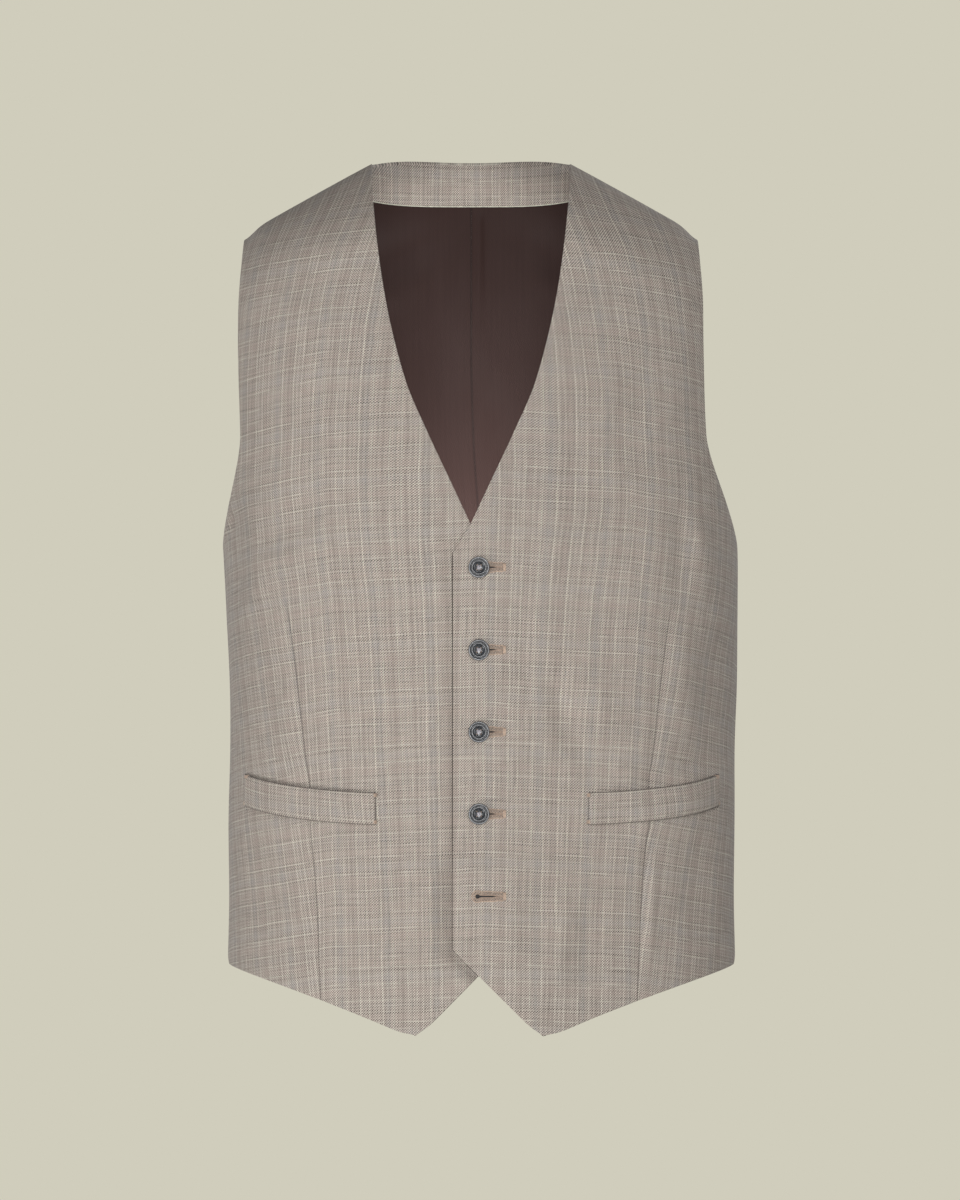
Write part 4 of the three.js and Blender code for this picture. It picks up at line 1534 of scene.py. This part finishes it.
def build_button_thread(number, place):
    threads = Bundle()
    for x, y in HOLE_CORNERS[:2]:
        for apart in (-THREAD_APART, THREAD_APART):
            run = np.linspace(-1, 1, THREAD_POINTS)
            rise = THREAD_RISE + THREAD_BOW * (1 - run**2) + (THREAD_OVER if x < 0 else 0) * (1 - run**2)
            rise = np.where(np.abs(run) > 0.99, THREAD_SUNK, rise)
            offset = np.array([-y, x]) * apart / math.sqrt(2)
            path = [run * x * THREAD_REACH + offset[0], run * y * THREAD_REACH + offset[1], rise]
            threads.add(*tube(placed(np.stack(path, -1), place), THREAD_RADIUS))
    ride(threads.piece(f"button_{number}_thread", thread_material("Button thread", "button_thread")), "horn")


def build_shank(number, place):
    shank = Bundle()
    turn = np.linspace(0, 2 * math.pi, SHANK_SIDES, endpoint=False)
    coil = np.stack([SHANK_RADIUS * np.cos(turn), SHANK_RADIUS * np.sin(turn), 0 * turn - SHANK_IN], -1)
    shank.add(*tube(placed(coil, place), SHANK_THREAD_RADIUS, 6, closed=True))
    # A disc of painted shadow under the button, seen through its holes
    shank.add(placed(coil + (0, 0, SHADOW_SEAT_OUT), place), [tuple(range(SHANK_SIDES))])
    ride(shank.piece(f"button_{number}_shank", thread_material("Dark thread", "shank_thread")), "horn")


def build_button(number, blank):
    """A button with its thread. The last one sits on the front below, and the others on the lapping one."""
    fastened = number < BUTTON_COUNT
    z = BUTTON_TOP_Z - (number - 1) * BUTTON_PITCH
    place = button_frame(1 if fastened else -1, z, SEAM_GAP)
    build_horn(number, blank, place)
    build_button_thread(number, place)
    build_shank(number, place)


# Buttonholes, from the eyelet in x to the bar tack
HOLE_EYE_X = -0.9
HOLE_EYE_RADIUS = 1.75
HOLE_END_X = 17.6
HOLE_HALF = 0.75
HOLE_HALF_END = 0.22
HOLE_NARROWS = {"from": 8, "to": 13.5}
STITCH_REACH = 2.75
STITCH_PITCH = 0.95
STITCH_RADIUS = 0.27
STITCH_REACH_AT_EYE = 0.86
EYE_TURNS = np.radians(np.linspace(32, 328, 13))
STRAIGHT_ENDS = {"at_tack": 1.0, "at_eye": 0.4}

# How unevenly the stitches are sewn: the shares their reach and radius vary between, and their slant
REACH_SHARES = (0.94, 1.06)
RADIUS_SHARES = (0.92, 1.08)
STITCH_SLANT = 0.1
HOLE_SEED = 40

# A stitch's height above the cloth, at shares of its length from the slit outwards
STITCH_STEPS = np.array([0, 0.12, 0.5, 0.85, 1.0])
STITCH_RISE = np.array([0.15, 0.62, 0.55, 0.4, -0.25])

# The cords along the slit and round the stitches' outer ends, and the bar tack's strands
CORD_RADIUS = 0.34
SLIT_CORD_OUT = 0.1
SLIT_CORD_RISE = 0.5
OUTLINE_RISE = 0.14
TACK_STRANDS = 4
TACK_FROM = -0.7
TACK_PITCH = 0.48
TACK_RADIUS = 0.33
TACK_RISE = np.array([-0.2, 0.7, 0.85, 0.9, 0.85, 0.7, -0.2])
SLIT_RISE = 0.12
SLIT_POINTS = 48
SLIT_SHORT = 0.8
# Painted shade: the buttonhole stitches' thread is darkened to this share of its colour
THREAD_IN_SHADE = 0.78


def hole_half(x):
    """Half the slit's width, which narrows towards the bar tack."""
    return mix(HOLE_HALF, HOLE_HALF_END, smooth(x, HOLE_NARROWS["from"], HOLE_NARROWS["to"]))


def hole_outline():
    """Points along the edge of a keyhole slit, with the direction away from it at each."""
    rows = []
    first_x = HOLE_END_X - STRAIGHT_ENDS["at_tack"]
    last_x = HOLE_EYE_X + HOLE_EYE_RADIUS + STRAIGHT_ENDS["at_eye"]
    straight = np.arange(first_x, last_x, -STITCH_PITCH)
    for x in straight:
        rows.append((x, hole_half(x), 0, 1))
    for a in EYE_TURNS:
        c, s = math.cos(a), math.sin(a)
        rows.append((HOLE_EYE_X + HOLE_EYE_RADIUS * c, HOLE_EYE_RADIUS * s, c, s))
    for x in straight[::-1]:
        rows.append((x, -hole_half(x), 0, -1))
    return rows


def add_hole_stitches(stitches, z, rng):
    """Adds the stitches round a slit, and returns where each starts and ends in the front view."""
    starts = []
    ends = []
    for x, y, away_x, away_y in hole_outline():
        reach = STITCH_REACH * rng.uniform(*REACH_SHARES)
        if away_x:
            reach *= STITCH_REACH_AT_EYE
        slant = rng.normal(0, STITCH_SLANT)
        px = x + away_x * reach * STITCH_STEPS - away_y * slant * STITCH_STEPS
        pz = z + y + away_y * reach * STITCH_STEPS + away_x * slant * STITCH_STEPS
        radius = STITCH_RADIUS * rng.uniform(*RADIUS_SHARES)
        stitches.add(*tube(on_front(1, px, pz, STITCH_RISE), radius, 6))
        starts.append((x + away_x * SLIT_CORD_OUT, z + y + away_y * SLIT_CORD_OUT))
        ends.append((px[-1], pz[-1]))
    return np.array(starts), np.array(ends)


def build_slit_shadow(name, z):
    """A sheet of painted shadow in the opening between a buttonhole's corded edges."""
    along = np.linspace(HOLE_EYE_X - HOLE_EYE_RADIUS, HOLE_END_X - SLIT_SHORT, SLIT_POINTS)
    in_eye = np.abs(along - HOLE_EYE_X) < HOLE_EYE_RADIUS
    eye_half = np.sqrt(np.clip(HOLE_EYE_RADIUS**2 - (along - HOLE_EYE_X) ** 2, 0, None))
    half = np.where(in_eye, eye_half, hole_half(along))
    lower = on_front(1, along, z - half, SLIT_RISE)
    upper = on_front(1, along, z + half, SLIT_RISE)
    faces = [(k, k + 1, SLIT_POINTS + k + 1, SLIT_POINTS + k) for k in range(SLIT_POINTS - 1)]
    slit = Bundle()
    slit.add(np.concatenate([lower, upper]), faces)
    ride(slit.piece(name, thread_material("Dark thread", "shank_thread")), "check_cloth")


def build_buttonhole(number):
    """Thread-worked keyhole: stitches from the slit outwards, with a corded edge and a bar tack.

    The stitches and the cord along the slit are painted in shade, in a darker copy of the thread, and the
    outline and the tack, which catch the light, are in its full colour.
    """
    z = BUTTON_TOP_Z - (number - 1) * BUTTON_PITCH
    rng = np.random.default_rng(HOLE_SEED + number)
    stitches = Bundle()
    starts, ends = add_hole_stitches(stitches, z, rng)
    outline = Bundle()
    outline.add(*tube(on_front(1, ends[:, 0], ends[:, 1], OUTLINE_RISE), CORD_RADIUS, 6))
    stitches.add(*tube(on_front(1, starts[:, 0], starts[:, 1], SLIT_CORD_RISE), CORD_RADIUS, 6))
    for k in range(TACK_STRANDS):
        x = HOLE_END_X + TACK_FROM + k * TACK_PITCH
        pz = z + np.linspace(-STITCH_REACH, STITCH_REACH, len(TACK_RISE))
        outline.add(*tube(on_front(1, x, pz, TACK_RISE), TACK_RADIUS, 6))
    thread = thread_material("Buttonhole thread", "hole_thread")
    shaded = thread_material("Buttonhole thread in shade", "hole_thread", THREAD_IN_SHADE)
    ride(outline.piece(f"buttonhole_{number}_outline", thread), "check_cloth")
    ride(stitches.piece(f"buttonhole_{number}_stitches", shaded), "check_cloth")
    build_slit_shadow(f"buttonhole_{number}_slit", z)


# Stitches at a welt's ends: their heights above the cloth, from the front's cloth up onto the welt, and
# those along its upper outer corner
WELT_STITCHES = 4
WELT_STITCH_PITCH = 0.62
WELT_STITCH_RADIUS = 0.26
WELT_STITCH_RISE = [0.2, 1.3, 1.9, 2.1, 1.6]
WELT_STITCH_RUN = {"from": -0.8, "to": 1.5}
WELT_STITCH_BELOW = {"top": 0.8, "foot": 3.0}
WELT_CORNER_RADIUS = 0.3
WELT_CORNER_RISE = [1.6, 2.25, 2.35, 2.25, 1.6]
WELT_CORNER_RUN = {"from": 0.4, "to": 3.4}
WELT_CORNER_BELOW = 0.9
WELT_STITCH_UNEVEN = 0.06
WELT_SEEDS = {1: 7, -1: 8}


def build_welt_tacks(name, side):
    """Short hand stitches that hold a welt's ends down."""
    rng = np.random.default_rng(WELT_SEEDS[side])
    stitches = Bundle()
    count = len(WELT_STITCH_RISE)
    run = np.linspace(WELT_STITCH_RUN["from"], WELT_STITCH_RUN["to"], count)
    for share, lean in ((0.0, 1), (1.0, -1)):
        angle = mix(WELT_START, WELT_END, share)
        top = welt_top(share)
        for corner in (top - WELT_STITCH_BELOW["top"], top - WELT_HEIGHT + WELT_STITCH_BELOW["foot"]):
            for k in range(WELT_STITCHES):
                z = corner - k * WELT_STITCH_PITCH + rng.normal(0, WELT_STITCH_UNEVEN)
                px = float(form_x(side, angle, z)) + side * lean * run
                stitches.add(*tube(on_front(side, px, z, WELT_STITCH_RISE), WELT_STITCH_RADIUS, 6))
    top = welt_top(1.0)
    run = np.linspace(WELT_CORNER_RUN["from"], WELT_CORNER_RUN["to"], count)
    px = float(form_x(side, WELT_END, top)) - side * run
    for k in range(WELT_STITCHES):
        pz = top - WELT_CORNER_BELOW - k * WELT_STITCH_PITCH + np.zeros(count)
        stitches.add(*tube(on_front(side, px, pz, WELT_CORNER_RISE), WELT_CORNER_RADIUS, 6))
    ride(stitches.piece(name, thread_material("Buttonhole thread", "hole_thread")), "check_cloth")


class WaistcoatSizes(bpy.types.PropertyGroup):
    """Sizes of the cloth's finish."""

    fold_depth: bpy.props.FloatProperty(
        name="Fold depth",
        description="How deep the soft folds are, as a share of those in the photo",
        default=1.0,
        min=0,
        max=2,
        subtype="FACTOR",
    )
    floor_drop: bpy.props.FloatProperty(
        name="Floor drop",
        description="How far the floor lies under the hem",
        default=0.75,
        min=0,
        unit="LENGTH",
    )


class WaistcoatColours(bpy.types.PropertyGroup):
    """Colours of the cloth, buttons and thread."""

    ground: bpy.props.FloatVectorProperty(
        name="Ground",
        description="Main colour of the checked cloth",
        default=(0.325, 0.283, 0.247),
        subtype="COLOR",
    )
    pale_yarn: bpy.props.FloatVectorProperty(
        name="Pale yarn",
        description="Colour of the check's pale lines",
        default=(0.74, 0.72, 0.6),
        subtype="COLOR",
    )
    rust_yarn: bpy.props.FloatVectorProperty(
        name="Rust yarn",
        description="Colour of the check's warm bars",
        default=(0.31, 0.245, 0.215),
        subtype="COLOR",
    )
    blue_yarn: bpy.props.FloatVectorProperty(
        name="Blue yarn",
        description="Colour of the check's cool bars",
        default=(0.285, 0.28, 0.275),
        subtype="COLOR",
    )
    line_strength: bpy.props.FloatProperty(
        name="Line strength",
        description="How strongly the pale lines show",
        default=0.82,
        min=0,
        max=1,
        subtype="FACTOR",
    )
    twill_strength: bpy.props.FloatProperty(
        name="Twill strength",
        description="How far the warp is lighter than the weft",
        default=0.62,
        min=0,
        max=1,
        subtype="FACTOR",
    )
    tint_strength: bpy.props.FloatProperty(
        name="Tint strength",
        description="How strongly the warm and cool bars show",
        default=0.4,
        min=0,
        max=1,
        subtype="FACTOR",
    )
    lining: bpy.props.FloatVectorProperty(
        name="Lining",
        description="Main colour of the lining cloth",
        default=(0.0258, 0.0118, 0.0098),
        subtype="COLOR",
    )
    lining_light: bpy.props.FloatVectorProperty(
        name="Lining light",
        description="Colour of the lining's lighter yarns",
        default=(0.0465, 0.0248, 0.0205),
        subtype="COLOR",
    )
    horn_dark: bpy.props.FloatVectorProperty(
        name="Horn dark",
        description="Darker colour of the buttons",
        default=(0.007, 0.008, 0.01),
        subtype="COLOR",
    )
    horn_light: bpy.props.FloatVectorProperty(
        name="Horn light",
        description="Lighter colour of the buttons",
        default=(0.035, 0.04, 0.047),
        subtype="COLOR",
    )
    # Colour of the buttons' rings: partly wear and partly painted highlight
    horn_rim: bpy.props.FloatVectorProperty(
        name="Horn rim",
        description="Colour of the buttons' rubbed rings",
        default=(0.175, 0.178, 0.185),
        subtype="COLOR",
    )
    hole_thread: bpy.props.FloatVectorProperty(
        name="Buttonhole thread",
        description="Colour of the buttonholes' stitches",
        default=(0.58, 0.43, 0.33),
        subtype="COLOR",
    )
    button_thread: bpy.props.FloatVectorProperty(
        name="Button thread",
        description="Colour of the thread through the buttons",
        default=(0.6, 0.57, 0.62),
        subtype="COLOR",
    )
    # Painted shadow: the near-black colour of the thread under the buttons, the seat behind them and the
    # buttonholes' slits
    shank_thread: bpy.props.FloatVectorProperty(
        name="Dark thread",
        description="Colour of the thread under the buttons and inside the buttonholes",
        default=(0.012, 0.01, 0.01),
        subtype="COLOR",
    )
    backdrop: bpy.props.FloatVectorProperty(
        name="Backdrop",
        description="Colour of the backdrop and the floor",
        default=(0.631, 0.61, 0.503),
        subtype="COLOR",
    )
    light_all_round: bpy.props.FloatVectorProperty(
        name="Light all round",
        description="Colour and strength of the light from all round",
        default=(0.17, 0.168, 0.165),
        subtype="COLOR",
    )


class WAISTCOAT_OT_fronts(bpy.types.Operator):
    """Builds the two fronts of checked cloth"""

    bl_idname = "waistcoat.fronts"
    bl_label = "Fronts"

    def execute(self, context):
        for name, side in (("front_over", 1), ("front_under", -1)):
            piece = ride(build_front(f"{name}_cloth", side), "check_cloth", name)
        return {"FINISHED"}


class WAISTCOAT_OT_back(bpy.types.Operator):
    """Builds the back and its lining, each in two halves"""

    bl_idname = "waistcoat.back"
    bl_label = "Back and lining"

    def execute(self, context):
        inward = BACK_THICKNESS + SEAM_GAP
        for name, side in (("right", -1), ("left", 1)):
            back = build_back(f"back_{name}_cloth", side, 0, BACK_THICKNESS, first_row=0)
            ride(back, "lining_cloth", f"back_{name}")
            lining_facts = (side, inward, LINING_THICKNESS, FINE_ROWS, lining_pleat)
            lining = build_back(f"back_lining_{name}_cloth", *lining_facts)
            ride(lining, "lining_cloth", f"back_lining_{name}")
        return {"FINISHED"}


class WAISTCOAT_OT_band(bpy.types.Operator):
    """Builds the band round the back of the neck"""

    bl_idname = "waistcoat.band"
    bl_label = "Neck band"

    def execute(self, context):
        piece = ride(build_band("neck_band_cloth"), "check_cloth", "neck_band")
        ride(build_band_edging("neck_band_edging"), "check_cloth")
        return {"FINISHED"}


class WAISTCOAT_OT_welts(bpy.types.Operator):
    """Builds the welts of the two hip pockets and the stitches that hold them"""

    bl_idname = "waistcoat.welts"
    bl_label = "Pocket welts"

    def execute(self, context):
        for name, side, front in (("left", 1, "front_over"), ("right", -1, "front_under")):
            piece = ride(build_welt(f"welt_{name}_cloth", side), "check_cloth", f"welt_{name}")
            build_welt_tacks(f"welt_{name}_stitches", side)
        return {"FINISHED"}


class WAISTCOAT_OT_buttons(bpy.types.Operator):
    """Builds the horn buttons and their thread"""

    bl_idname = "waistcoat.buttons"
    bl_label = "Buttons"

    def execute(self, context):
        blank = button_mesh()
        for number in range(1, BUTTON_COUNT + 1):
            build_button(number, blank)
        return {"FINISHED"}


class WAISTCOAT_OT_buttonholes(bpy.types.Operator):
    """Builds the thread-worked buttonholes"""

    bl_idname = "waistcoat.buttonholes"
    bl_label = "Buttonholes"

    def execute(self, context):
        for number in range(1, BUTTON_COUNT + 1):
            build_buttonhole(number)
        return {"FINISHED"}


# The photo's camera: level, far off, at the height of the waist
CAMERA_DISTANCE = 3600
CAMERA_X = 0.7
CAMERA_Z = -285.8
VIEW_HALF_HEIGHT = 432

# The floor fades into the backdrop between two shares of its radius
FLOOR_RADIUS = 1100
FLOOR_FADE = 0.25
FLOOR_CLEAR = 0.98
FLOOR_SIDES = 96
FLOOR_GRAIN_SCALE = 3.0
FLOOR_SHADE = 0.96

# Lamps, each at an angle round from the camera to the viewer's right and an angle above the waist. away is
# in metres; the two inside stand for the light that the hollow form gathers
FAR = {"away": 2.9, "spread": 180}
WITHIN = {"size": 0.08, "spread": 110}
LAMPS = [
    {"name": "key", "round": -54, "above": -29, "size": 1.3, "power": 38.5, **FAR},
    {"name": "fill", "round": 32, "above": -13, "size": 1.3, "power": 15.5, **FAR},
    {"name": "front", "round": -3, "above": 0, "size": 0.8, "power": 38.5, **FAR},
    {"name": "top", "round": 14, "above": 32, "size": 0.6, "power": 12, **FAR},
    {"name": "back left", "round": 150, "above": 18, "size": 1.4, "power": 30, **FAR},
    {"name": "back right", "round": 215, "above": 5, "size": 1.4, "power": 16, **FAR},
    {"name": "inside high", "round": 0, "above": -65, "away": 0.12, "power": 0.2, **WITHIN},
    {"name": "inside low", "round": 0, "above": -18, "away": 0.05, "power": 0.39, **WITHIN},
]


class WAISTCOAT_OT_stage(bpy.types.Operator):
    """Builds the floor, the lights and the camera"""

    bl_idname = "waistcoat.stage"
    bl_label = "Stage"

    def execute(self, context):
        scene = context.scene
        world = bpy.data.worlds.new("Pale studio")
        scene.world = world
        world.use_nodes = True
        wiring = Wiring(world.node_tree)
        seen = wiring.add("ShaderNodeLightPath").outputs["Is Camera Ray"]
        colour = wiring.mix_colours(seen, colour_of("light_all_round"), colour_of("backdrop"))
        light = wiring.add("ShaderNodeBackground", {"Color": colour, "Strength": 1.0})
        wiring.add("ShaderNodeOutputWorld", {"Surface": light.outputs["Background"]})
        self.add_floor(cad_box[0][2] - scene.waistcoat_sizes.floor_drop)
        target = np.array([0, 0, CAMERA_Z * MM])
        for row in LAMPS:
            self.add_lamp(row, target)
        self.add_camera(scene)
        scene.view_settings.view_transform = "Standard"
        return {"FINISHED"}

    def add_floor(self, height):
        turn = np.linspace(0, 2 * math.pi, FLOOR_SIDES, endpoint=False)
        across, along = FLOOR_RADIUS * np.cos(turn), FLOOR_RADIUS * np.sin(turn)
        points = np.stack([across, along, 0 * turn + height / MM], -1)
        material, w, shader = new_material("Pale floor", FLOOR_FINISH)
        place = w.add("ShaderNodeTexCoord").outputs["Object"]
        level = w.stretched(place, 1, 1, 0)
        away = w.add("ShaderNodeVectorMath", {0: level}, operation="LENGTH").outputs["Value"]
        fade = w.steps(away, FLOOR_FADE * FLOOR_RADIUS * MM, FLOOR_CLEAR * FLOOR_RADIUS * MM)
        clear = w.add("ShaderNodeBsdfTransparent").outputs["BSDF"]
        faded = w.add("ShaderNodeMixShader", {0: fade, 1: shader.outputs["BSDF"], 2: clear}).outputs["Shader"]
        w.set(material.node_tree.get_output_node("ALL").inputs["Surface"], faded)
        grain = w.noise(place, FLOOR_GRAIN_SCALE, 3.0)
        shade = w.mix_colours(grain, colour_of("backdrop", FLOOR_SHADE), colour_of("backdrop"))
        w.set(shader.inputs["Base Color"], shade)
        mesh_object("floor", points, [tuple(range(FLOOR_SIDES))], [material])

    def add_lamp(self, row, target):
        data = bpy.data.lights.new(row["name"], "AREA")
        data.size = row["size"]
        data.energy = row["power"]
        data.spread = math.radians(row["spread"])
        lamp = bpy.data.objects.new(row["name"], data)
        bpy.context.scene.collection.objects.link(lamp)
        turn = math.radians(row["round"])
        rise = math.radians(row["above"])
        away = np.array([math.sin(turn) * math.cos(rise), -math.cos(turn) * math.cos(rise), math.sin(rise)])
        lamp.location = target + away * row["away"]
        lamp.rotation_euler = (QUARTER - rise, 0, turn)
        lamp.visible_camera = False

    def add_camera(self, scene):
        data = bpy.data.cameras.new("camera")
        data.sensor_width = 36
        data.lens = data.sensor_width / 2 / (VIEW_HALF_HEIGHT / CAMERA_DISTANCE)
        data.clip_end = 50
        camera = bpy.data.objects.new("camera", data)
        scene.collection.objects.link(camera)
        camera.location = (CAMERA_X * MM, -CAMERA_DISTANCE * MM, CAMERA_Z * MM)
        camera.rotation_euler = (QUARTER, 0, 0)
        scene.camera = camera


OPERATORS = (
    WAISTCOAT_OT_fronts,
    WAISTCOAT_OT_back,
    WAISTCOAT_OT_band,
    WAISTCOAT_OT_welts,
    WAISTCOAT_OT_buttonholes,
    WAISTCOAT_OT_buttons,
    WAISTCOAT_OT_stage,
)


class WAISTCOAT_PT_panel(bpy.types.Panel):
    """Lists the waistcoat's pieces with its sizes and colours"""

    bl_label = "Waistcoat"
    bl_idname = "WAISTCOAT_PT_panel"
    bl_space_type = "VIEW_3D"
    bl_region_type = "UI"
    bl_category = "Waistcoat"

    def draw(self, context):
        for operator in OPERATORS:
            self.layout.operator(operator.bl_idname)
        for group in (context.scene.waistcoat_sizes, context.scene.waistcoat_colours):
            box = self.layout.box()
            for name in group.__annotations__:
                box.prop(group, name)


CLASSES = (WaistcoatSizes, WaistcoatColours, *OPERATORS, WAISTCOAT_PT_panel)


def register():
    for cls in CLASSES:
        bpy.utils.register_class(cls)
    bpy.types.Scene.waistcoat_sizes = bpy.props.PointerProperty(type=WaistcoatSizes)
    bpy.types.Scene.waistcoat_colours = bpy.props.PointerProperty(type=WaistcoatColours)


def unregister():
    del bpy.types.Scene.waistcoat_colours
    del bpy.types.Scene.waistcoat_sizes
    for cls in reversed(CLASSES):
        bpy.utils.unregister_class(cls)


def main():
    register()
    for operator in OPERATORS:
        group, name = operator.bl_idname.split(".")
        getattr(getattr(bpy.ops, group), name)()


if __name__ == "__main__":
    main()
